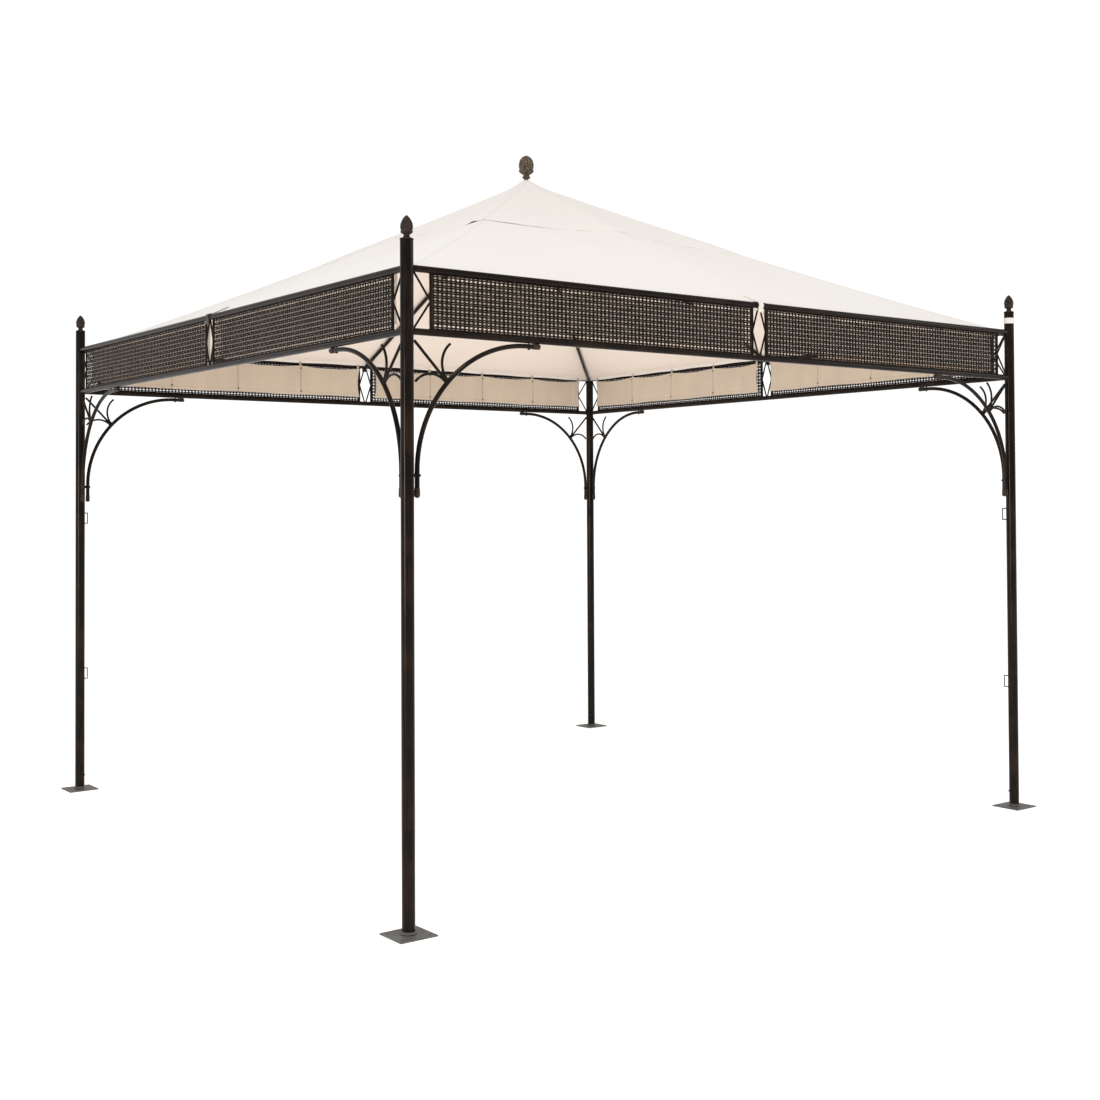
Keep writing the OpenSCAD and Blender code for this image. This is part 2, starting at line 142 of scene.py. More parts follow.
class Wire:
    """A node's output socket, which arithmetic carries on into further nodes."""

    def __init__(self, recipe: "Recipe", socket: bpy.types.NodeSocket) -> None:
        """Holds a socket of a recipe.

        Args:
            recipe: The recipe that new nodes go into.
            socket: The output socket.
        """
        self.recipe = recipe
        self.socket = socket

    def join(self, operation: str, left: "Operand", right: "Operand") -> "Wire":
        """Adds the node that works out left operation right.

        Args:
            operation: ADD, SUBTRACT or MULTIPLY.
            left: First operand.
            right: Second operand.

        Returns:
            The result, a number, a vector or a colour as the operands are.
        """
        kinds = {side.socket.type for side in (left, right) if isinstance(side, Wire)}
        if "RGBA" in kinds:
            settings = {"data_type": "RGBA", "blend_type": operation}
            return self.recipe.node("ShaderNodeMix", settings, {0: 1.0, 6: left, 7: right}, out=2)
        kind = "ShaderNodeVectorMath" if "VECTOR" in kinds else "ShaderNodeMath"
        return self.recipe.node(kind, {"operation": operation}, {0: left, 1: right})

    __add__, __radd__ = arithmetic("ADD"), arithmetic("ADD", swapped=True)
    __sub__, __rsub__ = arithmetic("SUBTRACT"), arithmetic("SUBTRACT", swapped=True)
    __mul__, __rmul__ = arithmetic("MULTIPLY"), arithmetic("MULTIPLY", swapped=True)

    def math(self, operation: str, other: "Operand" = 0.0) -> "Wire":
        """Adds a Math node of any other operation.

        Args:
            operation: The node's operation.
            other: Its second value.

        Returns:
            The result.
        """
        return self.recipe.node("ShaderNodeMath", {"operation": operation}, {0: self, 1: other})


Operand = Wire | float | tuple


class Recipe:
    """One procedural material under construction."""

    def __init__(self, name: str) -> None:
        """Starts a material.

        Args:
            name: The material's name.
        """
        self.material = bpy.data.materials.new(name)
        self.material.use_nodes = True
        self.tree = self.material.node_tree
        self.shader = self.tree.nodes["Principled BSDF"]
        self.place = self.node("ShaderNodeTexCoord", out="Object")

    def node(
        self, kind: str, settings: dict | None = None, sockets: dict | None = None, out: int | str = 0
    ) -> Wire:
        """Adds any node.

        Args:
            kind: The node's type.
            settings: Its settings; a colour ramp's are its stops, as (position, colour) pairs.
            sockets: Values or wires by socket name or number.
            out: The output to return.

        Returns:
            The output.
        """
        made = self.tree.nodes.new(kind)
        for name, value in (settings or {}).items():
            if name != "stops":
                setattr(made, name, value)
                continue
            ramp = made.color_ramp.elements
            while len(ramp) < len(value):
                ramp.new(0.5)
            for stop, (position, colour) in zip(ramp, value):
                stop.position, stop.color = position, colour
        for key, value in (sockets or {}).items():
            if isinstance(value, Wire):
                self.tree.links.new(value.socket, made.inputs[key])
            else:
                made.inputs[key].default_value = value
        return Wire(self, made.outputs[out])

    def noise(self, scale: float, detail: float = 3.0, stretch: tuple = (1.0, 1.0, 1.0)) -> Wire:
        """Cloudy noise on the piece's place.

        Args:
            scale: Cells in a metre.
            detail: Octaves.
            stretch: Factors on the coordinates.

        Returns:
            A number about 0.5.
        """
        where = self.place * stretch
        return self.node("ShaderNodeTexNoise", None, {"Vector": where, "Scale": scale, "Detail": detail})

    def ramp(self, value: Wire, *stops: tuple[float, Colour]) -> Wire:
        """Colours a number.

        Args:
            value: The number.
            stops: Positions and colours.

        Returns:
            The colour.
        """
        return self.node("ShaderNodeValToRGB", {"stops": stops}, {0: value})

    def mask(self, value: Wire, low: float, high: float) -> Wire:
        """A smooth step.

        Args:
            value: The number.
            low: Where the result is 0.
            high: Where the result is 1.

        Returns:
            The step.
        """
        sockets = {0: value, 1: low, 2: high, 3: 0.0, 4: 1.0}
        return self.node("ShaderNodeMapRange", {"interpolation_type": "SMOOTHSTEP"}, sockets)

    def mix(self, factor: Operand, first: Operand, second: Operand) -> Wire:
        """Blends two colours.

        Args:
            factor: Share of the second.
            first: First colour.
            second: Second colour.

        Returns:
            The blend.
        """
        return self.node("ShaderNodeMix", {"data_type": "RGBA"}, {0: factor, 6: first, 7: second}, out=2)

    def axes(self, vector: Wire) -> tuple[Wire, Wire, Wire]:
        """Splits a vector.

        Args:
            vector: The vector.

        Returns:
            Its three parts.
        """
        split = self.node("ShaderNodeSeparateXYZ", None, {0: vector})
        return tuple(Wire(self, socket) for socket in split.socket.node.outputs)

    def bump(self, height: Wire, depth: float, strength: float = 1.0) -> None:
        """Raises the surface by a height.

        Args:
            height: From 0 to 1.
            depth: Height of 1, in metres.
            strength: Share of the effect.
        """
        bump = self.node("ShaderNodeBump", None, {"Height": height, "Distance": depth, "Strength": strength})
        self.tree.links.new(bump.socket, self.shader.inputs["Normal"])

    def finish(self, colour: Operand, roughness: Operand, **constants: float | Colour) -> bpy.types.Material:
        """Feeds the shader.

        Args:
            colour: Base colour.
            roughness: Roughness.
            constants: Other sockets by name, with underscores for spaces.

        Returns:
            The material.
        """
        for name, value in (("Base Color", colour), ("Roughness", roughness)):
            if isinstance(value, Wire):
                self.tree.links.new(value.socket, self.shader.inputs[name])
            else:
                self.shader.inputs[name].default_value = value
        for name, value in constants.items():
            self.shader.inputs[name.replace("_", " ")].default_value = value
        return self.material


@dataclass(frozen=True)
class PowderCoat:
    """Near-black satin coat with a brown cast in streaks, partly the coat's own tone and partly painted highlights."""

    name: str = "dark bronze coat"
    deep: Colour = (0.0032, 0.0022, 0.0017, 1.0)
    brushed: Colour = (0.0150, 0.0095, 0.0068, 1.0)
    fleck: Colour = (0.034, 0.026, 0.020, 1.0)
    gloss: float = 0.11

    def make(self) -> bpy.types.Material:
        """Builds the material.

        Returns:
            The material.
        """
        recipe = Recipe(self.name)
        cloud = recipe.noise(7.0, 4.0)
        streak = recipe.noise(160.0, 3.0, (1.0, 1.0, 0.06))
        fleck = recipe.noise(420.0, 2.0)
        # painted highlight in part: the mottled brown streaks stand in for the brown highlights along the tubes as well
        # as the coat's own uneven tone
        mottle_and_sheen = recipe.mask(cloud * 0.6 + streak * 0.4, 0.42, 0.66)
        tone = recipe.mix(mottle_and_sheen, self.deep, self.brushed)
        specks = recipe.mask(fleck, 0.62, 0.72) * 0.3
        colour = recipe.mix(specks, tone, self.fleck)
        recipe.bump(recipe.noise(900.0, 2.0), 0.0001, 0.2)
        roughness = self.gloss + streak * 0.10 + mottle_and_sheen * 0.06
        return recipe.finish(colour, roughness, Specular_IOR_Level=0.14, Specular_Tint=BRONZE_SHEEN)


@dataclass(frozen=True)
class CastBronze:
    """Cast metal with a brown patina, darker where it is rough."""

    name: str = "cast bronze"
    dark: Colour = (0.010, 0.0075, 0.0060, 1.0)
    light: Colour = (0.050, 0.036, 0.027, 1.0)

    def make(self) -> bpy.types.Material:
        """Builds the material.

        Returns:
            The material.
        """
        recipe = Recipe(self.name)
        grain = recipe.noise(90.0, 5.0)
        pits = recipe.noise(700.0, 2.0)
        colour = recipe.ramp(grain * 0.75 + pits * 0.25, (0.36, self.dark), (0.66, self.light))
        recipe.bump(grain * 0.5 + pits * 0.5, 0.0004, 0.5)
        return recipe.finish(colour, 0.34 + pits * 0.18, Specular_IOR_Level=0.15, Specular_Tint=BRONZE_SHEEN)


@dataclass(frozen=True)
class Rattan:
    """Dark brown woven strand with streaks along it."""

    name: str = "woven rattan"
    dark: Colour = (0.0060, 0.0036, 0.0025, 1.0)
    middle: Colour = (0.0200, 0.0128, 0.0086, 1.0)
    light: Colour = (0.064, 0.044, 0.031, 1.0)

    def make(self) -> bpy.types.Material:
        """Builds the material.

        Returns:
            The material.
        """
        recipe = Recipe(self.name)
        along = recipe.noise(900.0, 2.0, (0.05, 0.05, 1.0))
        across = recipe.noise(900.0, 2.0, (1.0, 1.0, 0.05))
        lot = recipe.noise(30.0, 3.0)
        tone = along * 0.3 + across * 0.3 + lot * 0.4
        colour = recipe.ramp(tone, (0.38, self.dark), (0.52, self.middle), (0.66, self.light))
        recipe.bump(along + across, 0.0004, 0.5)
        return recipe.finish(colour, 0.36 + across * 0.16, Specular_IOR_Level=0.05)


@dataclass(frozen=True)
class CanopyCloth:
    """Ecru roof cloth: a fine weave with stitching along both edges of the hips' seams and round the hem, with painted
    shade towards the top and a painted warm underside.
    """

    name: str = "canopy cloth"
    cloth: Colour = (0.822, 0.788, 0.750, 1.0)
    shaded: Colour = (0.735, 0.678, 0.622, 1.0)
    under: Colour = (0.790, 0.664, 0.562, 1.0)
    thread: Colour = (0.52, 0.44, 0.36, 1.0)
    hem_at: float = 1.706
    hem_w: float = 0.028
    seam_w: float = 0.010
    patch_at: float = 3.02

    def make(self) -> bpy.types.Material:
        """Builds the material.

        Returns:
            The material.
        """
        recipe = Recipe(self.name)
        x, y, z = recipe.axes(recipe.place)
        reach_x, reach_y = x.math("ABSOLUTE"), y.math("ABSOLUTE")
        from_hip = (reach_x - reach_y).math("ABSOLUTE")
        from_hem = self.hem_at - reach_x.math("MAXIMUM", reach_y)
        cloud = recipe.noise(2.2, 4.0)
        slub = recipe.noise(260.0, 2.0, (1.0, 0.08, 1.0)) * 0.5 + recipe.noise(260.0, 2.0, (0.08, 1.0, 1.0)) * 0.5
        on_hip = 1.0 - recipe.mask((from_hip - self.seam_w).math("ABSOLUTE"), 0.0008, 0.0020)
        on_hem = 1.0 - recipe.mask((from_hem - self.hem_w).math("ABSOLUTE"), 0.0008, 0.0020)
        patch = 1.0 - recipe.mask((reach_x + reach_y - self.patch_at).math("ABSOLUTE"), 0.0010, 0.0026)
        seam = on_hip.math("MAXIMUM", on_hem).math("MAXIMUM", patch * 0.7)
        # painted shade: the cloth is darkened towards the top, where the cap covers it and less light comes through;
        # clouds and slubs blend it towards the shaded colour at random
        painted_top_shade = recipe.mask(z, 2.45, 3.15) * 0.45
        colour = recipe.mix(cloud * 0.45 + slub * 0.20 + painted_top_shade, self.cloth, self.shaded)
        # painted light and shade: faces that point down take the warm, darker underside colour, standing in for light
        # coming through the cloth
        _, _, facing = recipe.axes(recipe.node("ShaderNodeNewGeometry", out="Normal"))
        inside = recipe.mask(0.0 - facing, 0.1, 0.5)
        colour = recipe.mix(inside * 0.85, colour, self.under)
        colour = recipe.mix(seam * 0.45, colour, self.thread)
        folds = recipe.noise(5.0, 5.0, (1.0, 0.35, 1.0))
        recipe.bump(slub * 0.04 + folds * 0.6 - seam * 0.08, 0.006, 0.5)
        return recipe.finish(colour, 0.88, Sheen_Weight=0.15, Sheen_Roughness=0.5)


@dataclass(frozen=True)
class FlapCloth:
    """Beige cloth of the valances: seams drawn from the flap's own map, and painted light on the face that looks out, a
    paler colour and a faint glow.
    """

    name: str = "valance cloth"
    cloth: Colour = (0.650, 0.548, 0.440, 1.0)
    shaded: Colour = (0.505, 0.415, 0.322, 1.0)
    outer: Colour = (0.940, 0.865, 0.750, 1.0)
    thread: Colour = (0.28, 0.21, 0.15, 1.0)
    glow: float = 0.28
    bay: float = 0.393
    hem_w: float = 0.018

    def make(self) -> bpy.types.Material:
        """Builds the material.

        Returns:
            The material.
        """
        recipe = Recipe(self.name)
        cut = recipe.node("ShaderNodeTexCoord", out="UV")
        along, up, _ = recipe.axes(cut)
        weave = recipe.noise(600.0, 2.0, (0.1, 0.1, 1.0)) * 0.5 + recipe.noise(600.0, 2.0, (1.0, 1.0, 0.1)) * 0.5
        cloud = recipe.noise(9.0, 4.0, (1.0, 1.0, 0.5))
        in_bay = (along * (1.0 / self.bay) + 0.5).math("FRACT") - 0.5
        seam = 1.0 - recipe.mask(in_bay.math("ABSOLUTE"), 0.004, 0.012)
        hem = 1.0 - recipe.mask((up - self.hem_w).math("ABSOLUTE"), 0.0006, 0.0018)
        colour = recipe.mix(cloud * 0.8 + weave * 0.2, self.cloth, self.shaded)
        facing = recipe.node("ShaderNodeNewGeometry", out="Normal")
        outward = recipe.node(
            "ShaderNodeVectorMath", {"operation": "DOT_PRODUCT"}, {0: facing, 1: recipe.place}, out="Value"
        )
        # painted light: the face that looks out is paler and glows, standing in for light that reaches it through the
        # open weave
        outside = recipe.mask(outward, 0.3, 0.9)
        colour = recipe.mix(outside, colour, self.outer)
        glow = recipe.mix(outside, BLACK, self.outer)
        recipe.tree.links.new(glow.socket, recipe.shader.inputs["Emission Color"])
        colour = recipe.mix((seam * 0.5).math("MAXIMUM", hem * 0.35), colour, self.thread)
        recipe.bump(cloud * 0.5 + weave * 0.04 - seam * 0.2, 0.006, 0.5)
        return recipe.finish(colour, 0.90, Sheen_Weight=0.12, Sheen_Roughness=0.5, Emission_Strength=self.glow)


@dataclass(frozen=True)
class Webbing:
    """Ribbed tape, ecru unless told otherwise."""

    name: str = "tape webbing"
    tone: Colour = (0.78, 0.73, 0.65, 1.0)
    rib: Colour = (0.62, 0.56, 0.48, 1.0)
    ribs: float = 90.0

    def make(self) -> bpy.types.Material:
        """Builds the material.

        Returns:
            The material.
        """
        recipe = Recipe(self.name)
        cut = recipe.node("ShaderNodeTexCoord", out="UV")
        bands = {"wave_type": "BANDS", "bands_direction": "Y"}
        ribs = recipe.node("ShaderNodeTexWave", bands, {"Vector": cut, "Scale": self.ribs}, out=1)
        colour = recipe.mix(ribs * 0.5, self.tone, self.rib)
        recipe.bump(ribs, 0.0004, 0.6)
        return recipe.finish(colour, 0.85)


@dataclass(frozen=True)
class Hardware:
    """Small metal parts: dark bolts and snaps, or the bright zinc of sleeves and slides."""

    name: str
    tone: Colour
    metal: float = 0.9
    wear: float = 2.2

    def make(self) -> bpy.types.Material:
        """Builds the material.

        Returns:
            The material.
        """
        recipe = Recipe(self.name)
        grain = recipe.noise(300.0, 3.0)
        worn = tuple(min(1.0, part * self.wear) for part in self.tone[:3]) + (1.0,)
        recipe.bump(grain, 0.0002, 0.4)
        colour = recipe.mix(recipe.mask(grain, 0.4, 0.7), self.tone, worn)
        return recipe.finish(colour, 0.3 + grain * 0.3, Metallic=self.metal)


@dataclass(frozen=True)
class StudioFloor:
    """Pale, matt studio floor with a faint glow of its own."""

    name: str = "studio floor"
    dull: Colour = (0.84, 0.84, 0.835, 1.0)
    bright: Colour = (0.87, 0.87, 0.865, 1.0)
    glow: float = 0.45

    def make(self) -> bpy.types.Material:
        """Builds the material.

        Returns:
            The material.
        """
        recipe = Recipe(self.name)
        cloud = recipe.noise(0.6, 3.0)
        colour = recipe.mix(cloud, self.dull, self.bright)
        return recipe.finish(colour, 0.9, Emission_Color=WHITE, Emission_Strength=self.glow)


# painted reflection: the foot plates take a paler grey coat than the posts, standing in for the pale surroundings
# reflected in their upturned tops
FOOT_PLATE_SKY_SHEEN = PowderCoat(
    "foot plate coat", (0.100, 0.098, 0.094, 1.0), (0.170, 0.166, 0.158, 1.0), (0.21, 0.20, 0.19, 1.0), 0.4
)
CROWN_BRONZE = CastBronze("crown bronze", (0.030, 0.022, 0.016, 1.0), (0.170, 0.130, 0.097, 1.0))
# painted shade: a dark brown copy of the ecru tape, for the straps on the sides that lie in shade
SHADED_WEBBING = Webbing("brown webbing", (0.085, 0.064, 0.048, 1.0), (0.050, 0.037, 0.028, 1.0))
DARK_BOLT = Hardware("dark bolt", (0.030, 0.026, 0.022, 1.0))
ZINC = Hardware("zinc", (0.42, 0.42, 0.41, 1.0))


# ---------------------------------------------------------------- bench work


MEASURES = {
    "verts": lambda vertex: vertex.co,
    "edges": lambda edge: edge.verts[1].co - edge.verts[0].co,
    "faces": lambda face: face.normal,
}


def focus(*pieces: bpy.types.Object) -> None:
    """Selects only these pieces, the first one active.

    Args:
        pieces: The pieces.
    """
    bpy.ops.object.select_all(action="DESELECT")
    for piece in pieces:
        piece.select_set(True)
    bpy.context.view_layer.objects.active = pieces[0]


@contextmanager
def editing(piece: bpy.types.Object, mode: str = "VERT") -> Iterator[None]:
    """Holds a piece in edit mode.

    Args:
        piece: The piece.
        mode: VERT, EDGE or FACE.

    Yields:
        Nothing.
    """
    focus(piece)
    bpy.ops.object.mode_set(mode="EDIT")
    bpy.ops.mesh.select_mode(type=mode)
    yield
    bpy.ops.object.mode_set(mode="OBJECT")


def pick(piece: bpy.types.Object, test: Callable[[Vector], bool], parts: str = "verts") -> None:
    """Selects the vertices, edges or faces that pass a test, in edit mode.

    Args:
        piece: The piece being edited.
        test: Whether a vertex's place, an edge's run or a face's normal is picked.
        parts: verts, edges or faces.
    """
    mesh = bmesh.from_edit_mesh(piece.data)
    for part in getattr(mesh, parts):
        part.select = bool(test(MEASURES[parts](part)))
    if parts == "verts":
        mesh.select_flush_mode()
    bmesh.update_edit_mesh(piece.data)


def stand(name: str, data: bpy.types.ID) -> bpy.types.Object:
    """Puts new data in the scene.

    Args:
        name: The object's name.
        data: Its mesh, lamp or camera.

    Returns:
        The object.
    """
    made = bpy.data.objects.new(name, data)
    bpy.context.scene.collection.objects.link(made)
    return made


def place_mesh(piece: bpy.types.Object, place: Matrix) -> None:
    """Moves a piece's mesh, its faces still outwards after a mirror.

    Args:
        piece: The piece.
        place: Where it goes.
    """
    piece.data.transform(place)
    if place.determinant() < 0:
        piece.data.flip_normals()


def name_piece(name: str) -> bpy.types.Object:
    """Names the primitive just added.

    Args:
        name: Its name.

    Returns:
        The piece, its place put in its mesh.
    """
    piece = bpy.context.object
    piece.name = piece.data.name = name
    focus(piece)
    bpy.ops.object.transform_apply(location=True, rotation=True, scale=True)
    return piece


def apply(piece: bpy.types.Object, kind: str, **settings: object) -> None:
    """Adds a modifier and applies it.

    Args:
        piece: The piece.
        kind: The modifier's type.
        settings: The modifier's settings.
    """
    focus(piece)
    modifier = piece.modifiers.new(kind.title(), kind)
    for name, value in settings.items():
        setattr(modifier, name, value)
    bpy.ops.object.modifier_apply(modifier=modifier.name)


def repeat(piece: bpy.types.Object, count: int, step: Sequence[float], weld: bool = False) -> None:
    """Repeats a piece in a row.

    Args:
        piece: The piece.
        count: How many in all.
        step: From one to the next.
        weld: Whether touching copies are joined.
    """
    apply(
        piece, "ARRAY", count=count, use_relative_offset=False, use_constant_offset=True,
        constant_offset_displace=step, use_merge_vertices=weld, merge_threshold=1e-5,
    )


def copy_to(piece: bpy.types.Object, name: str, place: Matrix) -> bpy.types.Object:
    """Copies a piece with a mesh of its own.

    Args:
        piece: The piece.
        name: The copy's name.
        place: Where the copy goes.

    Returns:
        The copy.
    """
    twin = piece.copy()
    twin.data = piece.data.copy()
    twin.name = twin.data.name = name
    bpy.context.scene.collection.objects.link(twin)
    place_mesh(twin, place)
    return twin


def join(name: str, pieces: Sequence[bpy.types.Object]) -> bpy.types.Object:
    """Joins pieces into one.

    Args:
        name: The whole's name.
        pieces: The pieces.

    Returns:
        The whole.
    """
    focus(*pieces)
    bpy.ops.object.join()
    whole = bpy.context.object
    whole.name = whole.data.name = name
    return whole


def drop(piece: bpy.types.Object) -> None:
    """Deletes a pattern piece once its copies are made.

    Args:
        piece: The piece.
    """
    bpy.data.objects.remove(piece)


def smooth(piece: bpy.types.Object, angle: float = 40.0) -> None:
    """Turns the faces outwards and shades them smooth up to an angle.

    Args:
        piece: The piece.
        angle: Sharpest smooth bend, in degrees.
    """
    with editing(piece):
        bpy.ops.mesh.select_all(action="SELECT")
        bpy.ops.mesh.normals_make_consistent(inside=False)
    bpy.ops.object.shade_smooth_by_angle(angle=math.radians(angle))


def dress(piece: bpy.types.Object, finish: bpy.types.Material) -> bpy.types.Object:
    """Gives a piece its finish and its body.

    Args:
        piece: The piece.
        finish: Its material.

    Returns:
        The piece.
    """
    piece.data.materials.clear()
    piece.data.materials.append(finish)
    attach(piece, BODY)
    LOG.info("%s: %d faces", piece.name, len(piece.data.polygons))
    return piece


def turned(name: str, profile: Sequence[tuple[float, float]], sides: int) -> bpy.types.Object:
    """Turns a round piece about Z from a ring that is extruded and resized step by step.

    Args:
        name: Its name.
        profile: (height, radius) from the bottom up.
        sides: Sides of the ring.

    Returns:
        The piece, closed at both ends.
    """
    height, radius = profile[0]
    bpy.ops.mesh.primitive_circle_add(vertices=sides, radius=radius, location=(0, 0, height), fill_type="NGON")
    piece = name_piece(name)
    with editing(piece):
        bpy.ops.mesh.select_all(action="SELECT")
        for (low, old), (high, new) in zip(profile, profile[1:]):
            bpy.ops.mesh.extrude_region_move(TRANSFORM_OT_translate={"value": (0, 0, high - low)})
            bpy.ops.transform.resize(value=(new / old, new / old, 1), center_override=(0, 0, high))
    return piece


def cloth_piece(name: str, grid: np.ndarray, chart: np.ndarray, thickness: float, closed: bool) -> bpy.types.Object:
    """Makes a sheet from a grid of points.

    Args:
        name: Its name.
        grid: Points, rows by columns by 3.
        chart: The flat place of each point, rows by columns by 2.
        thickness: The cloth's thickness.
        closed: Whether each row runs all the way round.

    Returns:
        The sheet, with both its faces.
    """
    rows, columns, _ = grid.shape
    spans = columns if closed else columns - 1
    starts = [(r * columns, c, (c + 1) % columns) for r in range(rows - 1) for c in range(spans)]
    faces = [(row + c, row + after, row + columns + after, row + columns + c) for row, c, after in starts]
    mesh = bpy.data.meshes.new(name)
    mesh.from_pydata(grid.reshape(-1, 3).tolist(), [], faces)
    flat = chart.reshape(-1, 2)
    layer = mesh.uv_layers.new(name="cut")
    corners = np.array([loop.vertex_index for loop in mesh.loops])
    layer.data.foreach_set("uv", flat[corners].astype(np.float32).ravel())
    piece = stand(name, mesh)
    apply(piece, "SOLIDIFY", thickness=thickness, offset=0.0)
    smooth(piece, 60.0)
    return piece


def hemmed(grid: np.ndarray, chart: np.ndarray, hems: Sequence[np.ndarray]) -> tuple[np.ndarray, np.ndarray]:
    """Adds the rings of a hem to a sheet.

    Args:
        grid: Points, rows by columns by 3.
        chart: The flat place of each point.
        hems: The rings, each a row of points.

    Returns:
        The longer grid and chart.
    """
    return np.concatenate([grid, np.stack(hems)]), np.concatenate([chart, np.repeat(chart[-1:], len(hems), axis=0)])


# ---------------------------------------------------------------- sizes


@dataclass(frozen=True)
class Site:
    """The frame's main places, in metres."""

    half: float
    post_r: float
    post_top: float
    lower_rail: float
    upper_rail: float
    rail_r: float
    apex: float

    @classmethod
    def measured(cls) -> "Site":
        """Reads the places from the frame.

        Returns:
            The site.
        """
        plate_low, plate_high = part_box("foot_front_left")
        rail_low, rail_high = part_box("frieze_frame_front_left")
        finial_low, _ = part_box("finial_front_left")
        _, crown_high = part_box("crown_finial")
        rail_r = (rail_high.y - rail_low.y) / 2
        return cls(
            half=-(plate_low.x + plate_high.x) / 2,
            post_r=POST_RADIUS,
            post_top=finial_low.z + FINIAL_SPIGOT,
            lower_rail=rail_low.z + rail_r,
            upper_rail=rail_high.z - rail_r,
            rail_r=rail_r,
            apex=crown_high.z - CROWN_HEIGHT,
        )

    def post(self, height: float) -> Matrix:
        """A place on the front left post's axis.

        Args:
            height: Its height.

        Returns:
            The move there from the origin.
        """
        return Matrix.Translation((-self.half, -self.half, height))


@dataclass(frozen=True)
class RoofForm:
    """The surface that the rafters hold up: arced hips, straight side rafters and cloth that sags between."""

    site: Site
    rafter_r: float = 0.010
    fabric_t: float = 0.005
    cap_gap: float = 0.003
    tip_rise: float = 0.018
    tip_reach: float = 0.070
    hip_sag: float = 0.024
    cloth_sag: float = 0.014
    side_foot: float = 0.005

    @property
    def seat(self) -> float:
        """Height of the cloth's underside over the rafters' axes."""
        return (self.rafter_r * 1.06 + 0.0006) / math.cos(ROOF_PITCH)

    @property
    def rafter_apex(self) -> float:
        """Height where the rafters' axes meet."""
        return self.site.apex - self.tip_rise - self.seat - 2 * self.fabric_t - self.cap_gap

    def hip_axis(self, run: np.ndarray) -> np.ndarray:
        """Height of a hip rafter's axis.

        Args:
            run: Distance from the middle of the plan, along the diagonal.

        Returns:
            The heights.
        """
        reach = self.site.half * math.sqrt(2)
        foot = self.site.upper_rail - self.seat - self.fabric_t
        drop_z = self.rafter_apex - foot
        chord = math.hypot(reach, drop_z)
        bend = chord * chord / (8 * self.hip_sag) + self.hip_sag / 2
        pitch = math.atan2(drop_z, reach)
        centre_x = reach / 2 + (bend - self.hip_sag) * math.sin(pitch)
        centre_z = (self.rafter_apex + foot) / 2 + (bend - self.hip_sag) * math.cos(pitch)
        return centre_z - np.sqrt(bend**2 - (run - centre_x) ** 2)

    def side_axis(self, run: np.ndarray) -> np.ndarray:
        """Height of a side rafter's axis.

        Args:
            run: Distance from the middle of the plan.

        Returns:
            The heights.
        """
        foot = self.site.upper_rail - self.side_foot
        return self.rafter_apex - run * (self.rafter_apex - foot) / self.site.half

    def surface(self, reach: np.ndarray, along: np.ndarray, lift: float) -> np.ndarray:
        """Points of the cloth on the front quarter.

        Args:
            reach: Half width of the ring of each point.
            along: Place across the side, from -1 to 1.
            lift: Height over the rafters' axes.

        Returns:
            The points.
        """
        share = np.abs(along)
        hip = self.hip_axis(reach * math.sqrt(2))
        middle = self.side_axis(reach)
        span = np.clip(reach / self.site.half, 0, 1)
        sag = self.cloth_sag * np.sin(np.pi * share) * np.sin(np.pi * span) ** 0.8
        tip = self.tip_rise * np.clip(1 - reach / self.tip_reach, 0, 1)
        height = middle + (hip - middle) * share + lift + tip - sag
        return np.stack([reach * along, -reach * np.ones_like(along), height], axis=-1)


def around(form: RoofForm, widths: Sequence[float], lift: float, steps: int) -> tuple[np.ndarray, np.ndarray]:
    """A roof sheet's grid, ring by ring, all the way round.

    Args:
        form: The roof's form.
        widths: Half widths of the rings.
        lift: Height over the rafters' axes.
        steps: Points on half a side.

    Returns:
        The grid and, for each point, its (reach, along).
    """
    along = np.linspace(-1, 1, 2 * steps, endpoint=False)
    reach, across = np.meshgrid(np.array(widths, float), along, indexing="ij")
    quarter = form.surface(reach, across, lift)
    quarters = []
    for turn in range(4):
        c, s = math.cos(turn * math.pi / 2), math.sin(turn * math.pi / 2)
        quarters.append(quarter @ np.array([[c, s, 0], [-s, c, 0], [0, 0, 1]]))
    chart = np.stack([reach, across], axis=-1)
    return np.concatenate(quarters, axis=1), np.concatenate([chart] * 4, axis=1)


# ---------------------------------------------------------------- pieces


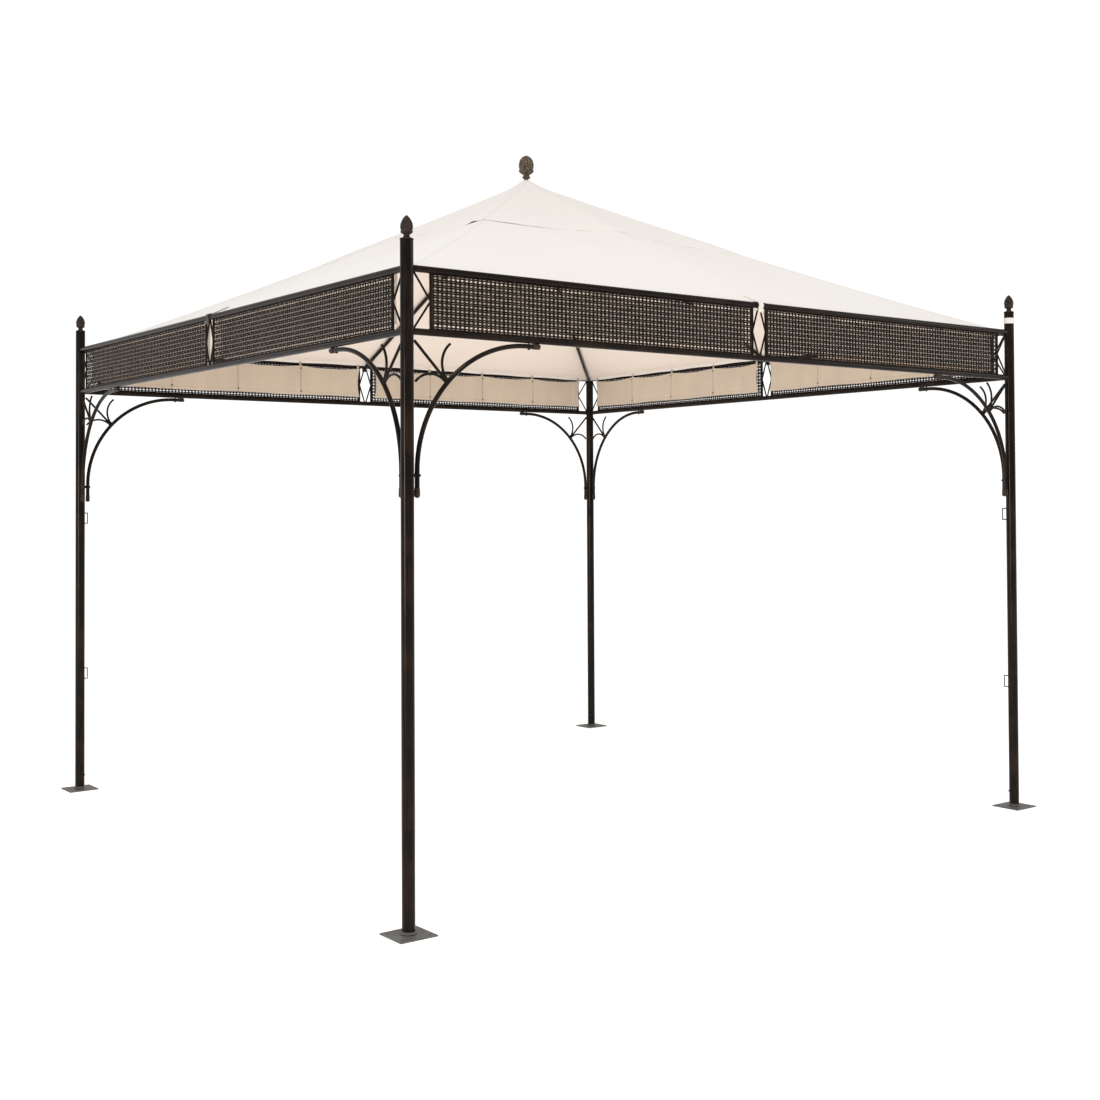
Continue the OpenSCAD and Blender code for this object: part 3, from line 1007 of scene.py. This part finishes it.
@dataclass
class Roof:
    """The canopy and the vent cap over it."""

    form: RoofForm
    cloth: bpy.types.Material
    vent_half: float = 0.400
    edge_half: float = 1.706
    cap_half: float = 0.776
    cloth_t: float = 0.0016
    cap_t: float = 0.0012
    rings: int = 44
    cap_rings: int = 26
    steps: int = 32
    rise: float = 0.80
    cap_rise: float = 0.38
    seam_room: float = 0.03
    hem_drops: tuple[float, ...] = (0.003, 0.008, 0.014)
    cap_hems: tuple[tuple[float, float], ...] = ((0.0, 0.002), (0.003, 0.0030), (0.012, 0.0025))
    loose_from: float = 0.62
    settle: float = 0.0062
    folds: tuple[tuple[float, ...], ...] = (
        (0.007, -0.776, 0.04, -0.69, 0.035), (0.0024, -0.62, 0.17, -0.776, 0.07),
    )

    def canopy(self) -> bpy.types.Object:
        """Builds the canopy, from the vent's opening to the hem turned down inside the rails.

        Returns:
            The canopy.
        """
        widths = np.linspace(self.vent_half, self.edge_half, self.rings)
        grid, chart = around(self.form, widths, self.form.seat + self.form.fabric_t / 2, self.steps)
        hems = []
        for drop_z in self.hem_drops:
            ring = grid[-1].copy()
            share = np.abs(chart[-1, :, 1])
            ring[:, 2] -= drop_z * (1 + 0.10 * np.sin(9.5 * np.pi * share))
            ring[:, :2] *= 1 + 0.0003 * np.sin(14 * np.pi * share)[:, None]
            hems.append(ring)
        grid, chart = hemmed(grid, chart, hems)
        piece = dress(cloth_piece("canopy", grid, chart, self.cloth_t, True), self.cloth)
        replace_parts(piece, *[f"roof_canopy_{side.word}" for side in Side])
        return piece

    def cap(self) -> bpy.types.Object:
        """Builds the vent cap, its hem loose and lifted in a fold beside the front left corner.

        Returns:
            The cap.
        """
        tip = (0.0095, 0.014, 0.022, 0.034, 0.050, 0.065, 0.080, 0.100)
        widths = [*tip, *np.linspace(0.13, self.cap_half, self.cap_rings)]
        lift = self.form.seat + self.form.fabric_t * 1.5 + self.form.cap_gap
        grid, chart = around(self.form, widths, lift, self.steps)
        reach, along = chart[..., 0], chart[..., 1]
        loose = np.clip((reach - self.loose_from) / (self.cap_half - self.loose_from), 0, 1) ** 2
        ripple = 0.0004 * np.sin(7.0 * along * np.pi + 1.3) + 0.0003 * np.sin(12.0 * along * np.pi + 0.4)
        grid[..., 2] += loose * (ripple * (1 - np.abs(along) ** 8) - self.settle)
        x, y = grid[..., 0], grid[..., 1]
        grid[..., 2] += sum(
            rise * np.exp(-(((x - at_x) / wide) ** 2 + ((y - at_y) / deep) ** 2))
            for rise, at_x, wide, at_y, deep in self.folds
        )
        hems = []
        for inward, drop_z in self.cap_hems:
            ring = grid[-1].copy()
            ring[:, :2] *= 1 - inward / self.cap_half
            ring[:, 2] += inward * 0.40 - drop_z * 0.20
            hems.append(ring)
        grid, chart = hemmed(grid, chart, hems)
        piece = dress(cloth_piece("vent_cap_cloth", grid, chart, self.cap_t, True), self.cloth)
        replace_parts(piece, *[f"vent_cap_{side.word}" for side in Side])
        return piece


@dataclass
class Valances:
    """Two gathered flaps on each side, tied to the canopy's hem."""

    site: Site
    cloth: bpy.types.Material
    metal: bpy.types.Material
    plane: float = 1.7040
    from_middle: float = 0.050
    from_post: float = 0.104
    clear: float = 0.037
    top_gap: float = 0.0175
    bays: int = 4
    cloth_t: float = 0.0014
    tape_half: tuple[float, float] = (0.007, 0.0007)
    tape_overlap: float = 0.015
    tape_inset: float = 0.012
    snap_in: float = 0.0105
    columns: int = 260
    rows: int = 16
    waves: tuple[tuple[float, float, float], ...] = (
        (0.0026, 6.5, 1.7), (0.0019, 11.0, 2.9), (0.0012, 19.0, 0.8), (0.0006, 37.0, 4.1),
    )

    @property
    def length(self) -> float:
        """Length of a flap."""
        return self.site.half - self.from_post - self.from_middle

    @property
    def low(self) -> float:
        """Height of a flap's lower edge."""
        return self.site.lower_rail + self.clear

    @property
    def top(self) -> float:
        """Height of a flap's upper edge at a tie."""
        return self.site.upper_rail - self.top_gap

    def grid(self, seed: int) -> tuple[np.ndarray, np.ndarray]:
        """Shapes one flap of the front side, from the middle towards the left post.

        Args:
            seed: Changes the gathers.

        Returns:
            The grid and its flat chart.
        """
        u, v = np.meshgrid(np.linspace(0, 1, self.columns), np.linspace(0, 1, self.rows))
        bay = u * self.bays
        droop = 0.011 * np.abs(np.sin(np.pi * bay)) ** 0.9
        bottom = self.low + 0.0016 * np.sin(5.3 * np.pi * u + seed)
        height = bottom + (self.top - droop - bottom) * v
        pull = 0.012 * np.sin(np.pi * v) * np.exp(-u * 40) - 0.012 * np.sin(np.pi * v) * np.exp(-(1 - u) * 40)
        x = -(self.from_middle + self.length * u) - pull
        waves = sum(size * np.sin(2 * np.pi * turns * u + seed * shift) for size, turns, shift in self.waves)
        near_tie = np.exp(-((bay - np.round(bay)) / 0.10) ** 2)
        pleat = 0.0034 * np.exp(-((bay - np.round(bay)) / 0.016) ** 2) * (u > 0.02) * (u < 0.98)
        y = -self.plane + 0.004 + waves * (0.35 + 0.65 * (1 - v)) + 0.0022 * near_tie * np.sin(60 * u) * v + pleat
        chart = np.stack([self.length * u, (self.top - self.low) * v], axis=-1)
        return np.stack([x, y, height], axis=-1), chart

    def tape(self, x: float) -> tuple[list[tuple[float, float, float]], list[tuple[int, int, int, int]]]:
        """One tie from a flap's top edge up to the canopy's hem.

        Args:
            x: Its place along the side.

        Returns:
            Its points and faces, a closed strip.
        """
        wide, thin = self.tape_half
        low, high = self.top - self.tape_overlap, self.site.upper_rail + 0.006
        y = -self.plane + 0.0015
        points = [
            (x + wide * a, y + thin * b, z) for z in (low, (low + high) / 2, high)
            for a, b in ((-1, -1), (1, -1), (1, 1), (-1, 1))
        ]
        starts = [(4 * r, c, (c + 1) % 4) for r in (0, 1) for c in range(4)]
        faces = [(row + c, row + after, row + 4 + after, row + 4 + c) for row, c, after in starts]
        return points, faces + [(3, 2, 1, 0), (8, 9, 10, 11)]

    def flap(self, name: str, place: Matrix, seed: int) -> bpy.types.Object:
        """Builds one flap with its ties.

        Args:
            name: Its name.
            place: Where it goes.
            seed: Changes the gathers.

        Returns:
            The flap.
        """
        grid, chart = self.grid(seed)
        piece = cloth_piece(name, grid, chart, self.cloth_t, False)
        ties = []
        for bay in range(self.bays + 1):
            inset = self.tape_inset * ((bay == 0) - (bay == self.bays))
            points, faces = self.tape(-(self.from_middle + self.length * bay / self.bays + inset))
            mesh = bpy.data.meshes.new(f"{name}_tie_{bay}")
            mesh.from_pydata(points, [], faces)
            ties.append(stand(mesh.name, mesh))
        whole = join(name, [piece, *ties])
        place_mesh(whole, place)
        return dress(whole, self.cloth)

    def snaps(self, side: Side) -> bpy.types.Object:
        """Builds the small dark snaps at the top and bottom of a side's seams.

        Args:
            side: The side.

        Returns:
            The snaps, joined.
        """
        pattern = turned("snap", [(0, 0.0042), (0.0010, 0.0044), (0.0018, 0.0034), (0.0024, 0.0016)], 12)
        face_in = Matrix.Rotation(-math.pi / 2, 4, "X")
        made = []
        for way in (-1, 1):
            for bay in range(1, self.bays):
                x = way * (self.from_middle + self.length * bay / self.bays)
                for z in (self.low + 0.020, self.top - 0.017):
                    spot = side.turn @ Matrix.Translation((x, -self.plane + self.snap_in, z)) @ face_in
                    made.append(copy_to(pattern, f"snap_{way}_{bay}_{z:.2f}", spot))
        drop(pattern)
        piece = join(f"valance_snaps_{side.word}", made)
        smooth(piece)
        return dress(piece, self.metal)

    def build(self) -> None:
        """Builds every flap and its snaps."""
        for side in Side:
            snaps = self.snaps(side)
            for number, (half, mirror) in enumerate((("left", 1.0), ("right", -1.0))):
                seed = 2 * side.value + number + 1
                piece = self.flap(f"valance_flap_{side.word}_{half}", side.half(mirror), seed)
                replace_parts(piece, f"valance_{side.word}")


@dataclass
class WovenFriezes:
    """Eight open-weave panels: pairs of flat strands over and under each other."""

    finish: bpy.types.Material
    columns: int = 82
    rows: int = 10
    edge: float = 0.005
    upright_w: float = 0.0050
    upright_gap: float = 0.00262
    level_w: float = 0.0070
    level_gap: float = 0.00360
    strand_t: float = 0.0021
    wave: float = 0.00145

    def strand(self, name: str, width: float, pitch: float, cells: int, way: int) -> bpy.types.Object:
        """One strand along Z that weaves in and out, running on to the frame at both ends.

        Args:
            name: Its name.
            width: Its width.
            pitch: From one crossing to the next.
            cells: Pairs of crossings along it.
            way: 1 or -1, the side on which it passes the second crossing.

        Returns:
            The strand, centred on the origin.
        """
        start = -(cells - 1) * pitch
        bpy.ops.mesh.primitive_cylinder_add(
            vertices=6, radius=width / 2, depth=2 * pitch, end_fill_type="NOTHING", location=(0, 0, start)
        )
        piece = name_piece(name)
        with editing(piece, "EDGE"):
            pick(piece, lambda run: abs(run.z) > pitch, "edges")
            bpy.ops.mesh.subdivide(number_cuts=3)
            bpy.ops.mesh.select_all(action="SELECT")
            bpy.ops.transform.resize(value=(1, self.strand_t / width, 1), center_override=(0, 0, 0))
            bpy.ops.mesh.select_mode(type="VERT")
            for ring, sign in ((0, 1), (-1, -1), (1, -1)):
                pick(piece, lambda co, z=start + ring * pitch: abs(co.z - z) < pitch / 8)
                bpy.ops.transform.translate(value=(0, sign * way * self.wave, 0))
        repeat(piece, cells, (0, 0, 2 * pitch), weld=True)
        with editing(piece):
            for end in (-1, 1):
                pick(piece, lambda co, z=end * cells * pitch: abs(co.z - z) < pitch / 8)
                bpy.ops.mesh.extrude_region_move(
                    TRANSFORM_OT_translate={"value": (0, way * self.wave, end * self.edge)}
                )
        return piece

    def layer(
        self, length: float, across: float, cells: int, lines: int, tip: bool
    ) -> list[bpy.types.Object]:
        """All the strands that run one way.

        Args:
            length: Room along the strands.
            across: Room across them.
            cells: Pairs of crossings along a strand.
            lines: Gaps between the pairs of strands.
            tip: Whether the layer is turned to run along X.

        Returns:
            The layer's parts.
        """
        width, gap = (self.level_w, self.level_gap) if tip else (self.upright_w, self.upright_gap)
        pitch = (length - 2 * self.edge) / (2 * cells)
        step = (across - 2 * self.edge) / lines
        made = []
        for odd in (0, 1):
            count = lines // 2 + 1 - odd
            for number, shift in enumerate((-gap, gap)):
                part = self.strand(f"strand_{odd}_{number}", width, pitch, cells, 1 - 2 * odd)
                part.data.transform(Matrix.Translation((-across / 2 + self.edge + odd * step + shift, 0, 0)))
                repeat(part, count, (2 * step, 0, 0))
                if tip:
                    part.data.transform(Matrix.Rotation(math.pi / 2, 4, "Y") @ Matrix.Diagonal((-1.0, 1.0, 1.0, 1.0)))
                made.append(part)
        return made

    def build(self) -> None:
        """Builds the pattern panel and copies it to its eight places."""
        low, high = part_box("woven_panel_front_left")
        size = high - low
        upright = self.layer(size.z, size.x, self.rows // 2, self.columns, False)
        level = self.layer(size.x, size.z, self.columns // 2, self.rows, True)
        pattern = join("weave_pattern", upright + level)
        smooth(pattern, 70.0)
        for side in Side:
            for half in ("left", "right"):
                node = f"woven_panel_{side.word}_{half}"
                low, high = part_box(node)
                place = Matrix.Translation((low + high) / 2) @ side.turn
                piece = dress(copy_to(pattern, f"weave_{side.word}_{half}", place), self.finish)
                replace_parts(piece, node)
        drop(pattern)


@dataclass
class Finials:
    """Four fluted acorns on the posts and a large one on the crown."""

    site: Site
    finish: bpy.types.Material
    crown_finish: bpy.types.Material
    body_press: float = 0.84
    cup_press: float = 0.94
    post_profile: tuple[tuple[float, float], ...] = (
        (0.3, 25.5), (5.0, 25.5), (6.6, 24.4), (7.8, 20.5), (9.2, 15.5), (12.5, 12.0), (17.0, 10.8), (20.0, 11.4),
        (22.5, 13.6), (24.0, 17.6), (26.5, 21.2), (29.5, 22.8), (32.5, 22.4), (34.6, 20.6), (35.8, 19.7), (37.2, 21.0),
        (40.0, 22.4), (46.0, 23.2), (53.0, 23.0), (60.0, 21.6), (67.0, 19.2), (73.5, 15.9), (79.0, 12.2), (83.8, 8.2),
        (87.6, 4.4), (90.0, 1.2),
    )
    crown_profile: tuple[tuple[float, float], ...] = (
        (-46.0, 8.0), (0.0, 8.0), (0.3, 21.0), (3.5, 23.0), (7.0, 20.5), (11.0, 16.4), (16.0, 15.2), (20.0, 18.2),
        (23.0, 25.0), (27.5, 32.0), (33.0, 37.2), (39.0, 39.4), (44.0, 38.6), (47.0, 36.2), (49.0, 35.2), (51.5, 37.0),
        (57.0, 38.8), (66.0, 39.2), (76.0, 38.6), (86.0, 36.6), (95.0, 33.2), (103.0, 28.2), (109.5, 22.0),
        (114.5, 15.0), (117.6, 8.4), (119.0, 2.2),
    )

    def acorn(
        self, name: str, profile: tuple[tuple[float, float], ...], flutes: int, body: tuple[float, float]
    ) -> bpy.types.Object:
        """Turns an acorn and presses flutes into its body and cup.

        Args:
            name: Its name.
            profile: (height, radius) in millimetres.
            flutes: How many grooves.
            body: Heights between which the body's grooves run, in metres.

        Returns:
            The acorn.
        """
        sides = 4 * flutes
        piece = turned(name, [(z / 1000, r / 1000) for z, r in profile], sides)

        def groove(co: Vector, low: float, high: float) -> bool:
            """Whether a vertex lies in a groove between two heights."""
            index = round(math.atan2(co.y, co.x) / math.tau * sides) % sides
            return index % 4 == 0 and low <= co.z <= high and math.hypot(co.x, co.y) > 0.002

        with editing(piece):
            for low, high, press in ((*body, self.body_press), (body[0] - 0.019, body[0] - 0.0045, self.cup_press)):
                pick(piece, lambda co: groove(co, low, high))
                bpy.ops.transform.resize(value=(press, press, 1), center_override=(0, 0, 0))
        smooth(piece, 50.0)
        apply(piece, "SUBSURF", levels=1, render_levels=1)
        smooth(piece, 50.0)
        return piece

    def build(self) -> None:
        """Builds the five finials."""
        pattern = self.acorn("acorn_pattern", self.post_profile, 14, (0.0385, 0.0835))
        for corner in Corner:
            spot = corner.turn @ self.site.post(self.site.post_top)
            piece = dress(copy_to(pattern, f"acorn_{corner.word}", spot), self.finish)
            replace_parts(piece, f"finial_{corner.word}")
        drop(pattern)
        crown = self.acorn("crown_acorn", self.crown_profile, 16, (0.0520, 0.1150))
        crown.data.transform(Matrix.Translation((0, 0, self.site.apex)))
        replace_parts(dress(crown, self.crown_finish), "crown_finial")


@dataclass
class Trim:
    """Rounded caps on the brackets' ends and weld beads on the frame."""

    site: Site
    cast: bpy.types.Material
    coat: bpy.types.Material
    offset: float = 0.040
    bend: float = 0.477
    tail: float = 0.082
    toe: float = 0.052
    end_r: float = 0.0105
    bar_r: float = 0.005
    corner_bay: float = 0.098
    middle_bay: float = 0.039
    bead_sides: int = 20
    bead_lift: float = 0.0004
    foot_bead_r: float = 0.0270
    foot_top: float = 0.0056

    def end_caps(self) -> bpy.types.Object:
        """Builds a ringed, rounded cap for both ends of every bracket.

        Returns:
            The caps, joined.
        """
        profile = [
            (-0.026, 0.0091), (-0.0255, 0.0104), (-0.0240, 0.0107), (-0.0222, 0.0104), (-0.0212, 0.0096),
            (-0.0196, 0.0096), (-0.0182, 0.0104), (-0.0120, 0.01068), (0.0026, 0.01068), (0.0050, 0.0100),
            (0.0074, 0.0081), (0.0092, 0.0055), (0.0101, 0.0030), (0.0104, 0.0010),
        ]
        pattern = turned("cap_pattern", profile, 24)
        top = self.site.lower_rail - self.site.rail_r - self.end_r - 0.0003
        ends = (
            Matrix.Translation((self.offset, 0, top - self.bend - self.tail)) @ Matrix.Rotation(math.pi, 4, "X"),
            Matrix.Translation((self.offset + self.bend + self.toe, 0, top)) @ Matrix.Rotation(math.pi / 2, 4, "Y"),
        )
        made = []
        for side in Side:
            for mirror in (1.0, -1.0):
                along = side.half(mirror) @ self.site.post(0)
                for number, end in enumerate(ends):
                    made.append(copy_to(pattern, f"cap_{side.word}_{mirror}_{number}", along @ end))
        drop(pattern)
        piece = join("bracket_end_caps", made)
        smooth(piece, 35.0)
        return dress(piece, self.cast)

    def bead(self, name: str, ring_r: float, wire_r: float, seat_r: float) -> bpy.types.Object:
        """Builds a weld bead round a bar, bent to the round tube that the bar stands on.

        Args:
            name: Its name.
            ring_r: Radius of the bead's ring.
            wire_r: Radius of the bead itself.
            seat_r: Radius of the tube that runs along X below it, or 0 on a flat seat.

        Returns:
            The bead.
        """
        bpy.ops.mesh.primitive_torus_add(
            major_radius=ring_r, minor_radius=wire_r, major_segments=self.bead_sides, minor_segments=6
        )
        piece = name_piece(name)
        with editing(piece):
            for step in range(self.bead_sides):
                angle = step * math.tau / self.bead_sides
                fall = seat_r - math.sqrt(seat_r**2 - (ring_r * math.sin(angle)) ** 2) if seat_r else 0.0
                pick(piece, lambda co, a=angle: abs((math.atan2(co.y, co.x) - a + math.pi) % math.tau - math.pi) < 0.1)
                bpy.ops.transform.translate(value=(0, 0, -fall))
                puff = 1.0 + 0.012 * math.sin(5 * angle)
                bpy.ops.transform.resize(value=(puff, puff, 1), center_override=(0, 0, 0))
        return piece

    def beads(self) -> bpy.types.Object:
        """Builds the weld beads of the friezes' end bars and of the feet.

        Returns:
            The beads, joined.
        """
        bar = self.bead("bar_bead", self.bar_r + 0.0008, 0.0013, self.site.rail_r)
        foot = self.bead("foot_bead", self.foot_bead_r, 0.0018, 0.0)
        made = []
        for side in Side:
            for mirror in (1.0, -1.0):
                for x in (self.corner_bay, self.site.half - self.middle_bay):
                    for rail, up in ((self.site.lower_rail, 1), (self.site.upper_rail, -1)):
                        z = rail + up * (self.site.rail_r + self.bead_lift)
                        along = side.half(mirror) @ Matrix.Translation((x - self.site.half, -self.site.half, z))
                        spot = along @ Matrix.Diagonal((1, 1, up, 1))
                        made.append(copy_to(bar, f"bead_{side.word}_{mirror}_{x:.2f}_{up}", spot))
        for corner in Corner:
            made.append(copy_to(foot, f"bead_{corner.word}", corner.turn @ self.site.post(self.foot_top)))
        drop(bar)
        drop(foot)
        piece = join("weld_beads", made)
        smooth(piece, 60.0)
        return dress(piece, self.coat)


@dataclass
class Ties:
    """Tape straps over the rails' middles and the loop round the front right post."""

    site: Site
    form: RoofForm
    tape: bpy.types.Material
    dark_tape: bpy.types.Material
    metal: bpy.types.Material
    strap_w: float = 0.027
    strap_t: float = 0.0014
    saddle_r: float = 0.0145
    saddle_lift: float = 0.0016
    cloth_lift: float = 0.0022
    on_cloth: tuple[float, ...] = (1.640, 1.660, 1.680, 1.700)
    wrap: tuple[float, float] = (74.0, 216.0)
    loop_h: float = 0.057
    loop_w: float = 0.028

    def strip(self, name: str, path: Sequence[tuple[float, float]]) -> bpy.types.Object:
        """Builds a strap across the front rail from its path in the upright plane.

        Args:
            name: Its name.
            path: (y, z) points.

        Returns:
            The strap.
        """
        columns = np.linspace(-self.strap_w / 2, self.strap_w / 2, 5)
        grid = np.array([[(x, y, z) for x in columns] for y, z in path])
        steps = np.linalg.norm(np.diff(np.array(path), axis=0), axis=1)
        run = np.concatenate([[0.0], np.cumsum(steps)])
        chart = np.array([[(x, s) for x in columns] for s in run])
        return cloth_piece(name, grid, chart, self.strap_t, False)

    def side_strap(self, side: Side) -> bpy.types.Object:
        """Builds the strap from the canopy over a side's saddle to its free end below the rail.

        Args:
            side: The side.

        Returns:
            The strap.
        """
        radius = self.saddle_r + self.saddle_lift
        lift = self.form.seat + self.form.fabric_t / 2 + self.cloth_lift
        cloth = [(-reach, float(self.form.side_axis(np.array(reach))) + lift) for reach in self.on_cloth]
        arc = [
            (-self.site.half + radius * math.cos(a), self.site.upper_rail + radius * math.sin(a))
            for a in np.radians(np.linspace(*self.wrap, 18))
        ]
        last_y, last_z = arc[-1]
        tail = [(last_y + 0.0012, last_z - 0.006), (last_y + 0.0016, last_z - 0.014), (last_y + 0.0005, last_z - 0.021)]
        path = cloth + arc + tail
        piece = self.strip(f"strap_{side.word}", path)
        piece.data.transform(side.turn)
        # painted shade: every strap but the front one takes the dark copy of the ecru tape
        dress(piece, self.tape if side is Side.FRONT else self.dark_tape)
        return piece

    def buckle(self, side: Side) -> bpy.types.Object:
        """Builds the small slide beside a strap, just below the rail.

        Args:
            side: The side.

        Returns:
            The slide.
        """
        bpy.ops.mesh.primitive_cube_add(size=1, scale=(0.017, 0.0022, 0.010))
        piece = name_piece(f"slide_{side.word}")
        with editing(piece, "FACE"):
            bpy.ops.mesh.select_all(action="DESELECT")
            pick(piece, lambda normal: abs(normal.y) > 0.9, "faces")
            bpy.ops.mesh.inset(thickness=0.0022)
            bpy.ops.mesh.bridge_edge_loops()
        apply(piece, "BEVEL", width=0.0005, segments=2, limit_method="ANGLE")
        height = self.site.upper_rail - self.site.rail_r - 0.0075
        spot = Matrix.Translation((-0.026, -self.site.half - 0.0090, height))
        piece.data.transform(side.turn @ spot)
        smooth(piece)
        return dress(piece, self.metal)

    def post_loop(self) -> bpy.types.Object:
        """Builds the loop of tape round the front right post.

        Returns:
            The loop.
        """
        radius = self.site.post_r + 0.0011
        levels = np.linspace(-self.loop_w / 2, self.loop_w / 2, 5) + self.site.upper_rail + self.loop_h
        angles = np.linspace(0, math.tau, 49)[:-1]
        half = self.site.half
        ring = [(half + radius * math.cos(a), -half + radius * math.sin(a)) for a in angles]
        grid = np.array([[(x, y, z) for x, y in ring] for z in levels])
        chart = np.array([[(z, radius * a) for a in angles] for z in levels])
        piece = dress(cloth_piece("post_loop", grid, chart, self.strap_t, True), self.tape)
        return piece

    def build(self) -> None:
        """Builds every strap and slide."""
        straps = [self.side_strap(side) for side in Side]
        for side in Side:
            self.buckle(side)
        for piece in (*straps, self.post_loop()):
            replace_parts(piece, "canopy_ties")


@dataclass
class FrameFinishes:
    """Finishes for the frame's own nodes, by their names."""

    coat: bpy.types.Material
    bolts: bpy.types.Material
    zinc: bpy.types.Material
    plate: bpy.types.Material
    bolt_nodes: tuple[str, ...] = ("bracket_bolts", "foot_screws", "rafter_screws")

    def apply(self, nodes: dict[str, bpy.types.Object]) -> None:
        """Gives every node its finish.

        Args:
            nodes: The frame's nodes by name.
        """
        for name, node in nodes.items():
            finish = self.bolts if name in self.bolt_nodes else self.zinc if name == "rail_sleeves" else self.coat
            if name.startswith("foot_") and name not in self.bolt_nodes:
                finish = self.plate
            node.data.materials.clear()
            node.data.materials.append(finish)


@dataclass
class Studio:
    """Pale floor, soft light and the camera."""

    eye: tuple[float, float, float] = (-4.384, -6.269, 1.517)
    yaw: float = 51.87
    pitch: float = 1.144
    roll: float = -0.3245
    lens: float = 48.27
    shift: tuple[float, float] = (-0.0538, -0.0698)
    floor_size: float = 160.0
    sensor: float = 36.0
    far: float = 400.0
    floor_z: float = -0.0005
    aim: tuple[float, float, float] = (0.0, 0.0, 1.6)
    lamps: tuple[tuple[str, tuple[float, float, float], float, float], ...] = (
        ("key", (-2.5, -7.0, 11.0), 2.0, 380.0),
        ("left", (-12.0, -4.0, 1.6), 2.6, 280.0),
        ("fill", (9.0, -8.0, 5.0), 2.0, 60.0),
    )
    ambient: float = 0.77
    backdrop: float = 1.1

    def floor(self) -> None:
        """Lays the floor."""
        bpy.ops.mesh.primitive_plane_add(size=self.floor_size, location=(0, 0, self.floor_z))
        floor = name_piece("studio_floor")
        floor.data.materials.append(StudioFloor().make())

    def light(self) -> None:
        """Hangs the lamps and lights the surroundings white."""
        for name, place, size, power in self.lamps:
            lamp = bpy.data.lights.new(name, "AREA")
            lamp.energy, lamp.size, lamp.shape = power, size, "DISK"
            holder = stand(name, lamp)
            holder.location = place
            holder.rotation_euler = (Vector(self.aim) - Vector(place)).to_track_quat("-Z", "Y").to_euler()
        world = bpy.data.worlds.new("studio")
        world.use_nodes = True
        bpy.context.scene.world = world
        nodes, links = world.node_tree.nodes, world.node_tree.links
        surface, backdrop = nodes["Background"], nodes.new("ShaderNodeBackground")
        for shader, strength in ((surface, self.ambient), (backdrop, self.backdrop)):
            shader.inputs["Color"].default_value = WHITE
            shader.inputs["Strength"].default_value = strength
        sight, blend = nodes.new("ShaderNodeLightPath"), nodes.new("ShaderNodeMixShader")
        links.new(sight.outputs["Is Camera Ray"], blend.inputs[0])
        links.new(surface.outputs[0], blend.inputs[1])
        links.new(backdrop.outputs[0], blend.inputs[2])
        links.new(blend.outputs[0], nodes["World Output"].inputs[0])

    def camera(self) -> None:
        """Stands the camera in front of the near corner."""
        yaw, pitch, roll = (math.radians(angle) for angle in (self.yaw, self.pitch, self.roll))
        ahead = Vector((math.cos(pitch) * math.cos(yaw), math.cos(pitch) * math.sin(yaw), math.sin(pitch)))
        level = Vector((math.sin(yaw), -math.cos(yaw), 0))
        upright = level.cross(ahead)
        right = math.cos(roll) * level + math.sin(roll) * upright
        up = math.cos(roll) * upright - math.sin(roll) * level
        lens = bpy.data.cameras.new("camera")
        lens.sensor_width, lens.lens = self.sensor, self.lens
        lens.shift_x, lens.shift_y = self.shift
        lens.clip_end = self.far
        camera = stand("camera", lens)
        turn = Matrix((right, up, -ahead)).transposed().to_4x4()
        camera.matrix_world = Matrix.Translation(self.eye) @ turn
        bpy.context.scene.camera = camera

    def build(self) -> None:
        """Sets up the studio."""
        self.floor()
        self.light()
        self.camera()
        bpy.context.scene.view_settings.view_transform = "Standard"


def main() -> None:
    """Builds and dresses the pavilion."""
    logging.basicConfig(level=logging.INFO, format="%(name)s: %(message)s")
    site = Site.measured()
    LOG.info("site: %s", site)
    form = RoofForm(site)
    coat, cast, canopy = PowderCoat().make(), CastBronze().make(), CanopyCloth().make()
    bolts, zinc = DARK_BOLT.make(), ZINC.make()
    FrameFinishes(coat, bolts, zinc, FOOT_PLATE_SKY_SHEEN.make()).apply(frame["nodes"])
    WovenFriezes(Rattan().make()).build()
    Finials(site, cast, CROWN_BRONZE.make()).build()
    roof = Roof(form, canopy)
    roof.canopy()
    roof.cap()
    Valances(site, FlapCloth().make(), bolts).build()
    Ties(site, form, Webbing().make(), SHADED_WEBBING.make(), zinc).build()
    trim = Trim(site, cast, coat)
    trim.end_caps()
    trim.beads()
    Studio().build()


if __name__ == "__main__":
    main()
